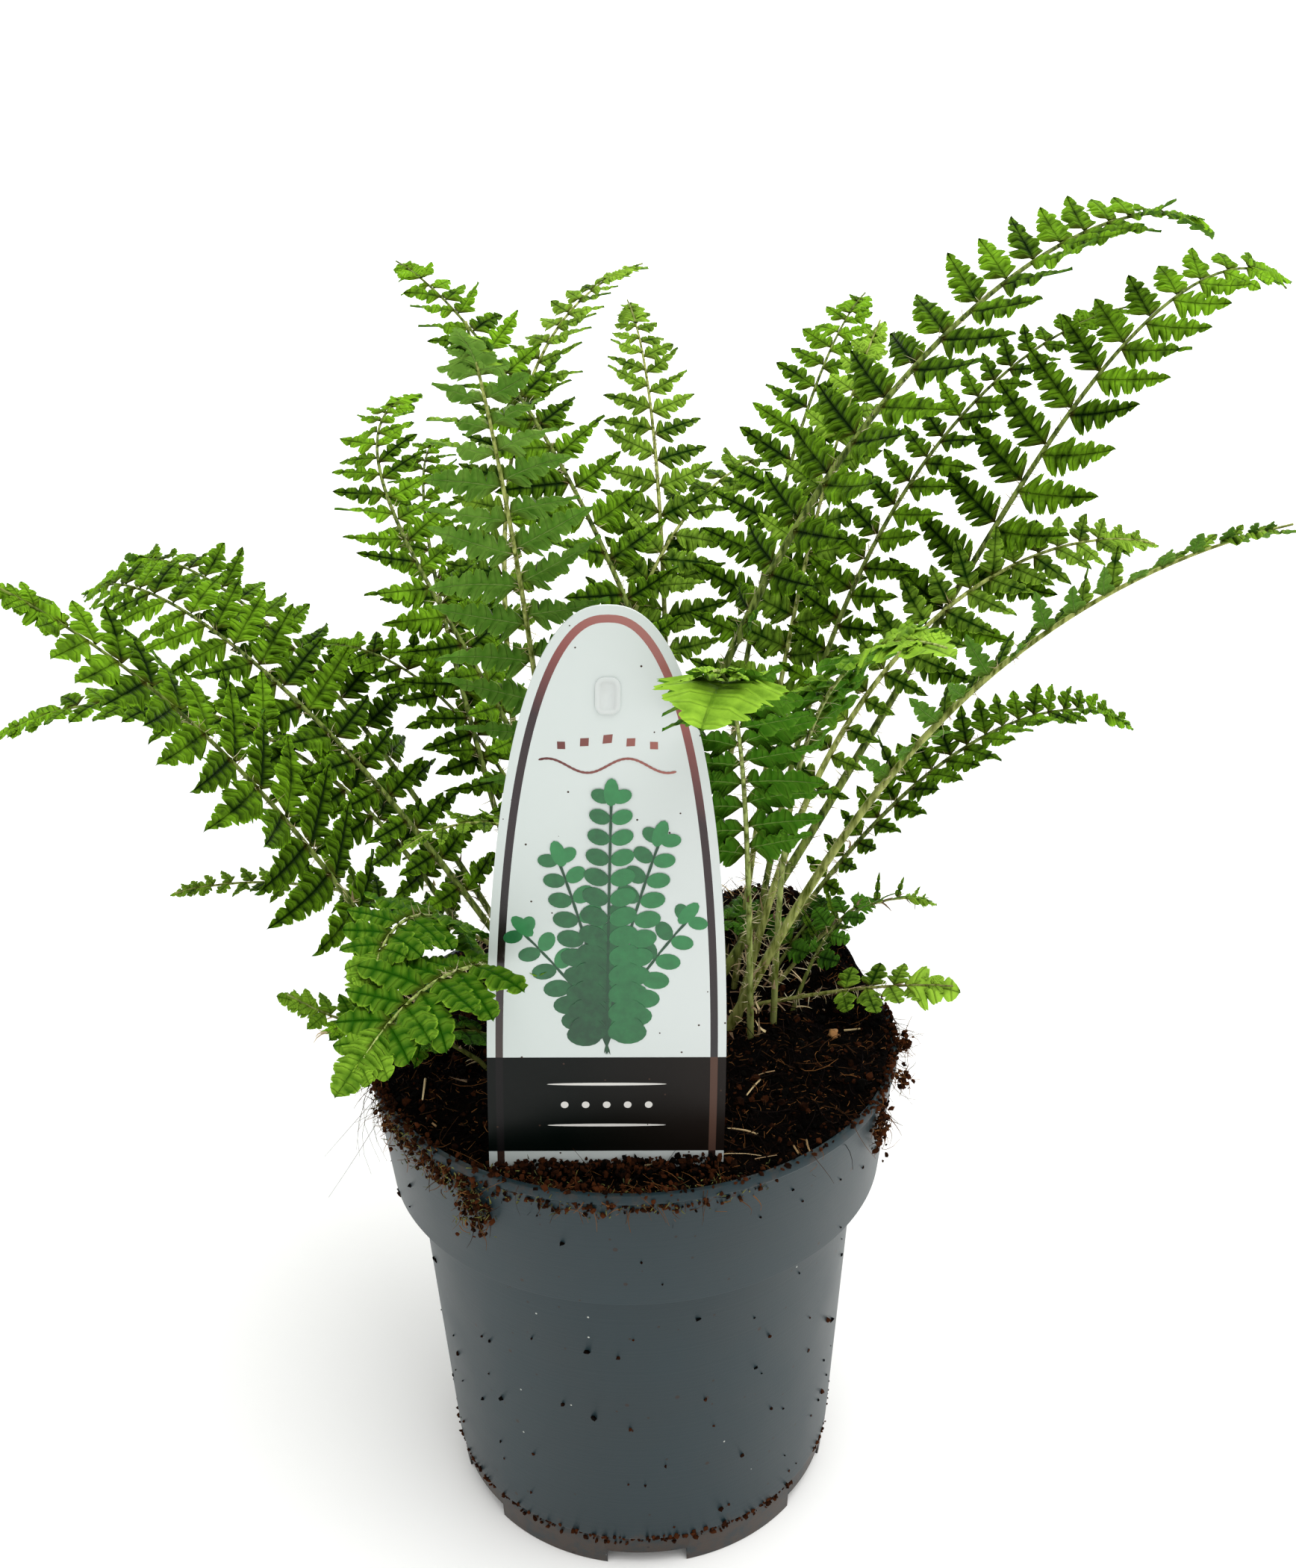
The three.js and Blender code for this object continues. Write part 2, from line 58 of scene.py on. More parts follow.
ahead = Vector((
    math.sin(CAMERA_YAW) * math.cos(CAMERA_PITCH),
    math.cos(CAMERA_YAW) * math.cos(CAMERA_PITCH),
    -math.sin(CAMERA_PITCH),
))
level_right = ahead.cross(Vector((0, 0, 1))).normalized()
level_up = level_right.cross(ahead)
right = level_right * math.cos(CAMERA_ROLL) + level_up * math.sin(CAMERA_ROLL)
up = level_up * math.cos(CAMERA_ROLL) - level_right * math.sin(CAMERA_ROLL)
camera_data = bpy.data.cameras.new("camera")
camera_data.sensor_width = SENSOR
camera_data.lens = FOCAL_PIXELS / PHOTO_HEIGHT * SENSOR
camera_data.clip_start = NEAREST
camera = bpy.data.objects.new("camera", camera_data)
turn = Matrix((right, up, -ahead)).transposed().to_4x4()
camera.matrix_world = Matrix.Translation(CAMERA_AT) @ turn
bpy.context.scene.collection.objects.link(camera)
bpy.context.scene.camera = camera
bpy.context.scene.view_settings.view_transform = "Standard"


# Floor and light: a white painted board that bends up behind the plant and glows there, like paper
# lit from behind, under an overcast sky, with one large soft lamp high on the right.
FLOOR_HALF = 4.0
FLOOR_BEND_FROM = 1.6
FLOOR_BEND_RADIUS = 1.2
FLOOR_COLOR = "FAFAF8"
GLOW_FROM = 0.5
GLOW = 0.5
GLOW_COLOR = (1.0, 1.0, 0.99, 1.0)
SKY_STRENGTH = 0.89
LAMP_SIZE = 2.6
LAMP_POWER = 74
LAMP_AT = (0.7, -0.5, 2.9)
LAMP_AIM = (0, 0, 0.25)


def linear(color):
    """Linear red, green, blue and alpha of an sRGB hex colour."""
    parts = [int(color[i:i + 2], 16) / 255 for i in (0, 2, 4)]
    return [c / 12.92 if c <= 0.04045 else ((c + 0.055) / 1.055) ** 2.4 for c in parts] + [1.0]


def feed(node, inputs):
    """Sets a node's inputs: each a value, a socket to link from, or a node whose result is linked."""
    for name, value in inputs.items():
        if isinstance(value, bpy.types.Node):
            value = next(output for output in value.outputs if output.enabled)
        if isinstance(value, bpy.types.NodeSocket):
            node.id_data.links.new(value, node.inputs[name])
        else:
            node.inputs[name].default_value = value


def add_node(shader, kind, settings=None, inputs=None):
    """Adds a node to a shader's material, with its settings and links."""
    node = shader.id_data.nodes.new("ShaderNode" + kind)
    for name, value in (settings or {}).items():
        setattr(node, name, value)
    feed(node, inputs or {})
    return node


def new_material(name, **values):
    """A material and its Principled shader, with the shader's own sockets set."""
    material = bpy.data.materials.new(name)
    material.use_nodes = True
    shader = material.node_tree.nodes["Principled BSDF"]
    feed(shader, {socket.replace("_", " "): value for socket, value in values.items()})
    return material, shader


def new_piece(name, shape, materials, smooth=None):
    """Makes a bmesh an object with its materials, smooth below the angle in degrees."""
    mesh = bpy.data.meshes.new(name)
    shape.to_mesh(mesh)
    shape.free()
    if smooth is not None:
        mesh.shade_smooth()
        mesh.set_sharp_from_angle(angle=math.radians(smooth))
    for material in materials:
        mesh.materials.append(material)
    piece = bpy.data.objects.new(name, mesh)
    bpy.context.scene.collection.objects.link(piece)
    return piece


board_paint, shader = new_material("painted_board", Roughness=0.9, Base_Color=linear(FLOOR_COLOR))
place = add_node(shader, "TexCoord").outputs["Object"]
grain = add_node(shader, "TexNoise", inputs={"Vector": place, "Scale": 1 / (9 * MM), "Detail": 3})
relief = add_node(shader, "Bump", inputs={"Strength": 0.05, "Distance": 0.2 * MM, "Height": grain})
away = add_node(shader, "SeparateXYZ", inputs={"Vector": place}).outputs["Y"]
glow = add_node(shader, "MapRange", {"interpolation_type": "SMOOTHSTEP"}, {
    "Value": away, "From Min": GLOW_FROM, "From Max": FLOOR_BEND_FROM, "To Max": GLOW})
feed(shader, {"Normal": relief, "Emission Color": GLOW_COLOR, "Emission Strength": glow})

shape = bmesh.new()
bmesh.ops.create_grid(shape, x_segments=4, y_segments=64, size=FLOOR_HALF)
for vert in shape.verts:
    past = vert.co.y - FLOOR_BEND_FROM
    angle = min(max(past / FLOOR_BEND_RADIUS, 0), math.pi / 2)
    if past > 0:
        rest = past - angle * FLOOR_BEND_RADIUS
        vert.co.y = FLOOR_BEND_FROM + FLOOR_BEND_RADIUS * math.sin(angle)
        vert.co.z = FLOOR_BEND_RADIUS * (1 - math.cos(angle)) + rest
floor = new_piece("floor", shape, [board_paint], smooth=60)

world = bpy.data.worlds.new("sky")
world.use_nodes = True
feed(world.node_tree.nodes["Background"], {"Color": (1.0, 1.0, 1.0, 1.0), "Strength": SKY_STRENGTH})
bpy.context.scene.world = world

lamp_data = bpy.data.lights.new("soft_lamp", "AREA")
lamp_data.size = LAMP_SIZE
lamp_data.energy = LAMP_POWER
lamp = bpy.data.objects.new("soft_lamp", lamp_data)
lamp.location = LAMP_AT
lamp.rotation_mode = "QUATERNION"
lamp.rotation_quaternion = (Vector(LAMP_AIM) - lamp.location).to_track_quat("-Z", "Y")
bpy.context.scene.collection.objects.link(lamp)


# Pot: a round nursery pot, injection moulded in one piece from slate grey polypropylene, with a
# collar that steps in to the body, a turned lip, and a foot with six notches and a drain channel.
RIM_RADIUS = 85
POT_HEIGHT = 164.4
LIP_THICKNESS = 2.5
LIP_HEIGHT = 3
WALL = 1.4
COLLAR_BOTTOM = 122
COLLAR_RADIUS = 80.2
BODY_TOP_RADIUS = 72.7
BODY_BOTTOM_RADIUS = 66
FOOT_HEIGHT = 13
FOOT_RADIUS = 64.5
DISC_RADIUS = 28
CHANNEL_HEIGHT = 6
NOTCH_COUNT = 6
NOTCH_WIDTH = 26
NOTCH_HEIGHT = 5.5
NOTCH_DEPTH = 8
HOLE_RADIUS = 4.5
HOLE_CIRCLE = 47
HOLE_DEPTH = 12
POT_SIDES = 192
POT_EDGE = 0.35
RIM_INSIDE = RIM_RADIUS - LIP_THICKNESS
COLLAR_INSIDE = COLLAR_RADIUS - WALL
POT_INSIDE = [
    (0, WALL),
    (DISC_RADIUS, WALL),
    (DISC_RADIUS + 4, CHANNEL_HEIGHT + WALL),
    (FOOT_RADIUS - WALL, CHANNEL_HEIGHT + WALL),
    (FOOT_RADIUS - WALL + 0.3, FOOT_HEIGHT),
    (BODY_BOTTOM_RADIUS - WALL, FOOT_HEIGHT + 2),
    (BODY_TOP_RADIUS - WALL, COLLAR_BOTTOM + WALL),
    (COLLAR_INSIDE, COLLAR_BOTTOM + WALL + 0.6),
]
POT_UNDERSIDE = [
    (0, 0),
    (DISC_RADIUS + 1.5, 0),
    (DISC_RADIUS + 6, CHANNEL_HEIGHT),
    (FOOT_RADIUS - 2.4, CHANNEL_HEIGHT),
    (FOOT_RADIUS - 2, 0),
]
POT_WALL = [
    (FOOT_RADIUS, 0),
    (FOOT_RADIUS + 0.5, FOOT_HEIGHT - 1),
    (BODY_BOTTOM_RADIUS, FOOT_HEIGHT),
    (BODY_TOP_RADIUS, COLLAR_BOTTOM),
    (COLLAR_RADIUS, COLLAR_BOTTOM + 0.4),
    (RIM_RADIUS - 0.8, POT_HEIGHT - LIP_HEIGHT),
    (RIM_RADIUS, POT_HEIGHT - LIP_HEIGHT + 0.6),
]
POT_LIP = [
    (RIM_RADIUS - 0.6, POT_HEIGHT),
    (RIM_INSIDE, POT_HEIGHT),
    (RIM_INSIDE, POT_HEIGHT - LIP_HEIGHT),
]


def spun(profile, sides):
    """A bmesh of a profile of radius and height in millimetres, spun round the Z axis."""
    shape = bmesh.new()
    verts = [shape.verts.new(Vector((r, 0, z)) * MM) for r, z in profile]
    edges = [shape.edges.new(pair) for pair in zip(verts, verts[1:])]
    bmesh.ops.spin(shape, geom=verts + edges, axis=(0, 0, 1), cent=(0, 0, 0), angle=math.tau,
                   steps=sides, use_merge=True)
    bmesh.ops.remove_doubles(shape, verts=shape.verts, dist=1e-6)
    bmesh.ops.recalc_face_normals(shape, faces=shape.faces)
    return shape


def sharp_edges(shape, angle):
    """The edges of a bmesh that bend more than an angle in degrees."""
    return [e for e in shape.edges if len(e.link_faces) == 2 and
            e.calc_face_angle() > math.radians(angle)]


# Polypropylene, injection moulded: satin, with a fine sparked grain, faint rubbed rings, peat dust
# baked on under the rim and round the foot, and dark and pale specks of peat and grit.
FOOT_DUST = (22, 8)
RIM_DUST = (146, 166)
# Specks: their spacing, their size as a share of it, the share of places that have one, and colour.
SPECKS = ((5, 0.09, 0.45, "1B1512"), (9, 0.08, 0.6, "20140E"), (8, 0.04, 0.35, "AAAEA6"))
# The sockets of a colour mix: how much of the second colour, and the two colours.
SHARE, FIRST, SECOND = 0, 6, 7

pot_plastic, shader = new_material("moulded_polypropylene", Roughness=0.4, Specular_IOR_Level=0.26)
place = add_node(shader, "TexCoord").outputs["Object"]
height = add_node(shader, "SeparateXYZ", inputs={"Vector": place}).outputs["Z"]
clouds = add_node(shader, "TexNoise", inputs={"Vector": place, "Scale": 1 / (30 * MM), "Detail": 5})
slate = add_node(shader, "Mix", {"data_type": "RGBA"}, {
    SHARE: clouds, FIRST: linear("132226"), SECOND: linear("1D2F35")})
dust_noise = add_node(shader, "TexNoise", inputs={
    "Vector": place, "Scale": 1 / (5 * MM), "Detail": 6, "Roughness": 0.7})
near_foot = add_node(shader, "MapRange", inputs={
    "Value": height, "From Min": FOOT_DUST[0] * MM, "From Max": FOOT_DUST[1] * MM, "To Max": 0.5})
near_rim = add_node(shader, "MapRange", inputs={
    "Value": height, "From Min": RIM_DUST[0] * MM, "From Max": RIM_DUST[1] * MM, "To Max": 0.3})
dusty = add_node(shader, "Math", {"operation": "ADD"}, {0: near_foot, 1: near_rim})
dust_amount = add_node(shader, "Math", {"operation": "ADD"}, {0: dusty, 1: dust_noise})
dust = add_node(shader, "MapRange", inputs={
    "Value": dust_amount, "From Min": 0.78, "From Max": 1.05, "To Max": 0.75})
painted = add_node(shader, "Mix", {"data_type": "RGBA"}, {
    SHARE: dust, FIRST: slate, SECOND: linear("403126")})
for spacing, size, chance, speck_color in SPECKS:
    cells = add_node(shader, "TexVoronoi", inputs={"Vector": place, "Scale": 1 / (spacing * MM)})
    pick = add_node(shader, "SeparateColor", inputs={"Color": cells.outputs["Color"]}).outputs["Red"]
    chosen = add_node(shader, "Math", {"operation": "LESS_THAN"}, {0: pick, 1: chance})
    close = add_node(shader, "Math", {"operation": "LESS_THAN"}, {0: cells, 1: size})
    speck = add_node(shader, "Math", {"operation": "MULTIPLY"}, {0: chosen, 1: close})
    painted = add_node(shader, "Mix", {"data_type": "RGBA"}, {
        SHARE: speck, FIRST: painted, SECOND: linear(speck_color)})
gloss = add_node(shader, "MapRange", inputs={"Value": clouds, "To Min": 0.34, "To Max": 0.5})
grain = add_node(shader, "TexNoise", inputs={"Vector": place, "Scale": 1 / (0.5 * MM), "Detail": 2})
rings = add_node(shader, "TexNoise", {"noise_dimensions": "1D"}, {
    "W": height, "Scale": 1 / (1.2 * MM), "Detail": 3})
relief = add_node(shader, "Bump", inputs={
    "Strength": 0.25, "Distance": 0.06 * MM, "Height": grain})
turned = add_node(shader, "Bump", inputs={
    "Strength": 0.2, "Distance": 0.08 * MM, "Height": rings, "Normal": relief})
feed(shader, {"Base Color": painted, "Roughness": gloss, "Normal": turned})

shape = spun(POT_UNDERSIDE + POT_WALL + POT_LIP + POT_INSIDE[::-1], POT_SIDES)
bmesh.ops.bevel(shape, geom=sharp_edges(shape, 25), affect="EDGES", offset=POT_EDGE * MM,
                segments=2, profile=0.5, material=-1)
pot = new_piece("pot_shell", shape, [pot_plastic], smooth=35)

cutter = bmesh.new()
for i in range(NOTCH_COUNT):
    round_turn = Matrix.Rotation(math.tau * i / NOTCH_COUNT, 4, "Z")
    half_turn = Matrix.Rotation(math.tau * (i + 0.5) / NOTCH_COUNT, 4, "Z")
    notch_size = Matrix.Diagonal((NOTCH_WIDTH * MM, NOTCH_DEPTH * MM, NOTCH_HEIGHT * 2 * MM, 1))
    notch_at = Matrix.Translation((0, -FOOT_RADIUS * MM, 0))
    bmesh.ops.create_cube(cutter, size=1, matrix=round_turn @ notch_at @ notch_size)
    hole_at = Matrix.Translation((0, -HOLE_CIRCLE * MM, CHANNEL_HEIGHT * MM))
    bmesh.ops.create_cone(cutter, cap_ends=True, segments=32, radius1=HOLE_RADIUS * MM,
                          radius2=HOLE_RADIUS * MM, depth=HOLE_DEPTH * MM, matrix=half_turn @ hole_at)
cutter = new_piece("cutter", cutter, [])
cut = pot.modifiers.new("notches_and_holes", "BOOLEAN")
cut.object = cutter
cut.solver = "EXACT"


def apply_modifiers(piece):
    """Makes what the modifiers of a piece show its own mesh."""
    seen = piece.evaluated_get(bpy.context.evaluated_depsgraph_get())
    mesh = bpy.data.meshes.new_from_object(seen)
    piece.modifiers.clear()
    old = piece.data
    piece.data = mesh
    bpy.data.meshes.remove(old)
    mesh.name = piece.name


apply_modifiers(pot)
bpy.data.objects.remove(cutter)
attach(pot, "root")
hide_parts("pot")


# Soil: dark milled peat, pressed in by hand, that fills the pot to just over its rim, falls to the
# front and is heaped at the back right. It stands a hair's breadth clear of the pot's wall.
GAP = 0.3
SOIL_TOP = 168
FRONT_DROP = 10
FRONT_FALL = (18, 78)
EDGE_DROP = 3
EDGE_FALL = (50, 82)
HEAP_X = 50
HEAP_Y = 52
HEAP_HEIGHT = 20
HEAP_SPREAD = 22
CLOD_SIZE = 9
CLOD_RELIEF = 2.2
GRAIN_SIZE = 2.6
GRAIN_RELIEF = 0.9
SMOOTHER_FROM = (76, 82)
SOIL_SIDES = 220
SOIL_RINGS = 60
soil_edge = RIM_INSIDE - 2 * GAP


def smoothstep(value, low, high):
    """0 below low, 1 above high, smooth between."""
    t = min(max((value - low) / (high - low), 0), 1)
    return t * t * (3 - 2 * t)


def soil_height(x, y):
    """Height of the soil at a place, in millimetres, as its solid has it."""
    front = smoothstep(-y, *FRONT_FALL) * FRONT_DROP
    edge = smoothstep(math.hypot(x, y), *EDGE_FALL) * EDGE_DROP
    away = math.hypot(x - HEAP_X, y - HEAP_Y) / HEAP_SPREAD
    lumps = 0.9 * math.sin(0.13 * x + 0.07 * y) * math.cos(0.11 * y - 0.05 * x)
    return SOIL_TOP - front - edge + HEAP_HEIGHT * math.exp(-0.5 * away ** 2) + lumps


def crumbled(x, y):
    """Height of the soil with its own clods and crumbs, which are lower at the pot's wall."""
    clods = noise.fractal(Vector((x / CLOD_SIZE, y / CLOD_SIZE, 3.1)), 0.8, 2.1, 3)
    fine = noise.fractal(Vector((x / GRAIN_SIZE, y / GRAIN_SIZE, 7.7)), 0.6, 2.3, 2)
    fade = 1 - smoothstep(math.hypot(x, y), *SMOOTHER_FROM)
    return soil_height(x, y) + (CLOD_RELIEF * clods + GRAIN_RELIEF * fine) * (0.3 + 0.7 * fade)


def set_stops(ramp, stops):
    """Gives a colour ramp its stops, each a position and a colour, in place of its first two."""
    elements = ramp.color_ramp.elements
    for position, color in stops:
        elements.new(position).color = linear(color)
    elements.remove(elements[0])
    elements.remove(elements[-1])


# Peat: fully rough, near black where it is damp, with red-brown crumbs and short brown fibres.
PEAT_BROWNS = ((0.4, "010000"), (0.56, "040201"), (0.67, "120703"), (0.8, "3A1C0C"))
peat, shader = new_material("milled_peat", Roughness=1.0, Specular_IOR_Level=0.04)
place = add_node(shader, "TexCoord").outputs["Object"]
patches = add_node(shader, "TexNoise", inputs={
    "Vector": place, "Scale": 1 / (2.2 * MM), "Detail": 6, "Roughness": 0.75})
browns = add_node(shader, "ValToRGB", inputs={"Fac": patches})
set_stops(browns, PEAT_BROWNS)
crumbs = add_node(shader, "TexVoronoi", inputs={"Vector": place, "Scale": 1 / (1.3 * MM)})
relief = add_node(shader, "Bump", inputs={"Strength": 0.9, "Distance": 0.6 * MM, "Height": crumbs})
rough = add_node(shader, "Bump", inputs={
    "Strength": 0.8, "Distance": 0.3 * MM, "Height": patches, "Normal": relief})
feed(shader, {"Base Color": browns, "Normal": rough})

rows = [(max(r - GAP, 0), z + GAP) for r, z in POT_INSIDE]
rows += [(soil_edge * (1 - i / SOIL_RINGS), SOIL_TOP) for i in range(SOIL_RINGS + 1)]
shape = spun(rows, SOIL_SIDES)
for vert in shape.verts:
    if vert.co.z > (SOIL_TOP - 1) * MM:
        x, y = vert.co.x / MM, vert.co.y / MM
        vert.co.z = crumbled(x, y) * MM
        if math.hypot(x, y) > soil_edge - 0.1:
            share = min((vert.co.z / MM - COLLAR_BOTTOM) / (POT_HEIGHT - COLLAR_BOTTOM), 1)
            radius = COLLAR_INSIDE + share * (RIM_INSIDE - COLLAR_INSIDE) - 2 * GAP
            vert.co.xy *= radius / soil_edge
soil = new_piece("peat_fill", shape, [peat], smooth=180)
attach(soil, "root")
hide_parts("soil")


# Crumbs of peat: loose on the soil, strewn on the rim, clinging to the pot's wall and to the ledge
# over its foot, hanging over the rim in clumps, and pushed up against the foot of the label.
CRUMB_COUNT = 4600
CRUMB_SIZES = (0.7, 0.9, 0.9, 1.2, 1.6, 2.4)
CRUMB_TONES = (-0.3, -0.2, -0.1, 0.0, 0.15, 0.5)
RIM_CRUMBS = 620
WALL_CRUMBS = 190
WALL_CRUMB_SIZES = (0.7, 0.9, 1.2, 1.8)
LEDGE_CRUMBS = 620
LEDGE_BARE = -0.12
HEAP_CRUMBS = 460
HEAP_FROM = -42
HEAP_TO = 24
HEAP_LOW = 160.2
HEAP_RISE = 3.6
HEAP_DEEP = 7
HEAP_FRONT = -63.4
CLUMP_OVER_RIM = 3
# Clumps over the rim at the left front, stuck to the collar, at the label's foot and hanging from
# the rim on the right: angle round the pot and spread along it, radius and spread out from it,
# height and spread in height, crumbs and fibres.
Clump = namedtuple("Clump", "angle along radius out height up crumbs fibres")
CLUMPS = [Clump(*row) for row in (
    (214, 13, 84, 1.4, 161, 3.2, 170, 80),
    (228, 8, 85, 1.0, 158, 2.5, 70, 40),
    (236, 3, 85, 0.9, 152, 4.5, 110, 46),
    (252, 14, 79, 2.5, 160, 1.8, 240, 90),
    (276, 16, 79, 2.5, 160, 1.6, 200, 80),
    (354, 1.6, 87, 1.3, 163, 1.4, 60, 26),
    (346, 1.8, 87, 1.2, 158, 1.6, 50, 24),
    (331, 2.6, 85.5, 0.8, 156, 4.0, 110, 50),
)]


def tone_material(name, dark, light, noise_size, relief_size, **values):
    """A material between two colours by the tone of each copy, with fine mottling and relief."""
    material, shader = new_material(name, **values)
    tone = add_node(shader, "Attribute", {"attribute_name": "tone"}).outputs["Fac"]
    place = add_node(shader, "TexCoord").outputs["Object"]
    mottle = add_node(shader, "TexNoise", inputs={
        "Vector": place, "Scale": 1 / noise_size, "Detail": 4, "Roughness": 0.65})
    amount = add_node(shader, "Math", {"operation": "MULTIPLY_ADD"}, {0: mottle, 1: 0.7, 2: -0.35})
    mixed = add_node(shader, "Math", {"operation": "ADD", "use_clamp": True}, {0: amount, 1: tone})
    blend = add_node(shader, "Mix", {"data_type": "RGBA"}, {
        SHARE: mixed, FIRST: linear(dark), SECOND: linear(light)})
    bump = add_node(shader, "Bump", inputs={
        "Strength": 0.6, "Distance": relief_size, "Height": mottle})
    feed(shader, {"Base Color": blend, "Normal": bump})
    return material


def copies(name, shape, material, laid, smooth=180):
    """One piece of many copies of a small shape, each laid by a move of its points and a tone."""
    piece = new_piece(name, shape, [material], smooth)
    points = np.array([vert.co for vert in piece.data.vertices])
    repeat = piece.modifiers.new("copies", "ARRAY")
    repeat.use_relative_offset = False
    repeat.count = len(laid)
    apply_modifiers(piece)
    moved = np.concatenate([move(points) for move, _ in laid])
    piece.data.vertices.foreach_set("co", moved.astype(np.float32).ravel())
    tones = np.repeat([tone for _, tone in laid], len(points))
    tone = piece.data.attributes.new("tone", "FLOAT", "POINT")
    tone.data.foreach_set("value", tones.astype(np.float32))
    piece.data.update()
    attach(piece, "root")
    return piece


def crumb_at(at, size, rng):
    """The move of a crumb to its place: squashed, turned and dented by the draw."""
    turn = np.array(Matrix.Rotation(rng.uniform(0, math.tau), 3, "Z")
                    @ Matrix.Rotation(rng.uniform(0, math.tau), 3, "X"))
    stretch = np.array([rng.uniform(0.6, 1.3) for _ in range(3)]) * size / 2
    seed = rng.uniform(0, 99)

    def move(points):
        dents = 1 + 0.35 * np.sin(points @ np.array([3.1, 4.3, 5.7]) + seed)
        return (points * dents[:, None] * stretch) @ turn.T + np.array(at)
    return move


def on_soil(rng, clear=1.0, raised=0.0):
    """A place on the soil, clear of its edge in millimetres and raised in metres."""
    radius = (soil_edge - clear) * math.sqrt(rng.random())
    angle = rng.uniform(0, math.tau)
    x, y = radius * math.cos(angle), radius * math.sin(angle)
    return Vector((x, y, crumbled(x, y))) * MM + Vector((0, 0, raised))


def round_pot(radius, angle, height):
    """A place round the pot's axis, in metres."""
    return Vector((radius * math.cos(angle), radius * math.sin(angle), height)) * MM


def wall_radius(height):
    """Outer radius of the pot at a height, in millimetres."""
    return float(np.interp(height, [z for _, z in POT_WALL], [r for r, _ in POT_WALL]))


def in_clump(clump, rng):
    """A place in a clump, in metres, kept outside the pot's wall below the rim."""
    height = min(rng.gauss(clump.height, clump.up), POT_HEIGHT + CLUMP_OVER_RIM)
    angle = math.radians(clump.angle) + rng.gauss(0, clump.along) / RIM_RADIUS
    radius = rng.gauss(clump.radius, clump.out)
    if height < POT_HEIGHT - 1 and radius > RIM_INSIDE - 2:
        radius = max(radius, wall_radius(height) + 0.2)
    return round_pot(radius, angle, height)


crumb_peat = tone_material("peat_crumbs", "020100", "44220E", 1.2 * MM, 0.3 * MM,
                           Roughness=1.0, Specular_IOR_Level=0.06)
rng = random.Random(11)
laid = []
for _ in range(CRUMB_COUNT):
    size = rng.choice(CRUMB_SIZES) * rng.uniform(0.7, 1.2) * MM
    laid.append((crumb_at(on_soil(rng, raised=0.2 * size), size, rng), rng.choice(CRUMB_TONES)))
for _ in range(RIM_CRUMBS):
    # Most lie at the right and the left of the rim, and at the front.
    angle = math.radians(rng.choice((rng.gauss(-10, 14), rng.gauss(200, 14), rng.uniform(180, 360),
                                     rng.uniform(0, 360))))
    radius = rng.uniform(RIM_INSIDE - 1.5, RIM_RADIUS + 0.2)
    size = rng.uniform(0.6, 1.8) * MM
    at = round_pot(radius, angle, POT_HEIGHT) + Vector((0, 0, 0.25 * size))
    laid.append((crumb_at(at, size, rng), rng.choice((0.1, 0.25, 0.5, 0.8))))
for _ in range(WALL_CRUMBS):
    height = rng.uniform(14, 160)
    angle = rng.uniform(0, math.tau)
    size = rng.choice(WALL_CRUMB_SIZES) * MM
    at = round_pot(wall_radius(height), angle, height)
    laid.append((crumb_at(at, size, rng), rng.choice((0.0, 0.05, 0.2, 0.6))))
for _ in range(LEDGE_CRUMBS):
    angle = rng.uniform(0, math.tau)
    if noise.noise(Vector((math.cos(angle), math.sin(angle), 5)) * 2.2) < LEDGE_BARE:
        continue
    height = FOOT_HEIGHT + rng.uniform(-3.5, 1.2)
    radius = wall_radius(height) + rng.uniform(0, 0.5)
    size = rng.uniform(0.6, 1.7) * MM
    at = round_pot(radius, angle, height)
    laid.append((crumb_at(at, size, rng), rng.choice((0.3, 0.5, 0.8))))
for clump in CLUMPS:
    for _ in range(clump.crumbs):
        size = rng.uniform(0.6, 1.9) * MM
        laid.append((crumb_at(in_clump(clump, rng), size, rng), rng.choice((0.1, 0.3, 0.5, 0.9))))
for _ in range(HEAP_CRUMBS):
    x = rng.uniform(HEAP_FROM, HEAP_TO)
    swell = 0.5 + 0.5 * noise.noise(Vector((x / 8, 0.3, 2.7)))
    forward = abs(rng.gauss(0, 3.2))
    rise = HEAP_RISE * swell * max(0, 1 - forward / HEAP_DEEP) * rng.random() ** 0.6
    size = rng.uniform(0.8, 2.1) * MM
    at = Vector((x, HEAP_FRONT - forward, HEAP_LOW + rise)) * MM
    laid.append((crumb_at(at, size, rng), rng.choice((-0.1, 0.1, 0.3, 0.6))))
crumb = bmesh.new()
bmesh.ops.create_icosphere(crumb, subdivisions=1, radius=1)
crumb_pieces = copies("peat_crumbs", crumb, crumb_peat, laid, smooth=40)


# Fibres of root and moss in the peat, thin and curled: on the soil, in the clumps, hanging from the
# rim, and a few long roots at its left. Flecks are their short ends, some painted pale as highlights
# where they would catch the light.
FIBRE_COUNT = 2400
FIBRE_LENGTHS = (2.5, 4, 4, 6, 11)
HANGING_FIBRES = 130
LONG_ROOTS = 9
FLECK_COUNT = 3200


def strand_at(start, lean, heading, length, width, curl, rng, flat=1.0):
    """The move of a strand that is one unit long: it leaves start and curls as it goes."""
    side = rng.uniform(-1, 1) * curl
    rise = rng.uniform(-0.6, 0.4) * curl

    def move(points):
        t = points[:, 2]
        turn = heading + side * t
        slope = lean + rise * t
        ahead = np.stack([np.cos(slope) * np.cos(turn), np.cos(slope) * np.sin(turn),
                          np.sin(slope)], 1)
        across = np.stack([-np.sin(turn), np.cos(turn), 0 * turn], 1)
        over = np.cross(ahead, across)
        middle = np.array(start) + ahead * (length * t)[:, None]
        return middle + across * (points[:, :1] * width) + over * (points[:, 1:2] * width * flat)
    return move


def drawn(span, rng):
    """A number as it is, a draw between the two of a pair, or a pick from a list."""
    if isinstance(span, list):
        return rng.choice(span)
    return rng.uniform(*span) if isinstance(span, tuple) else span


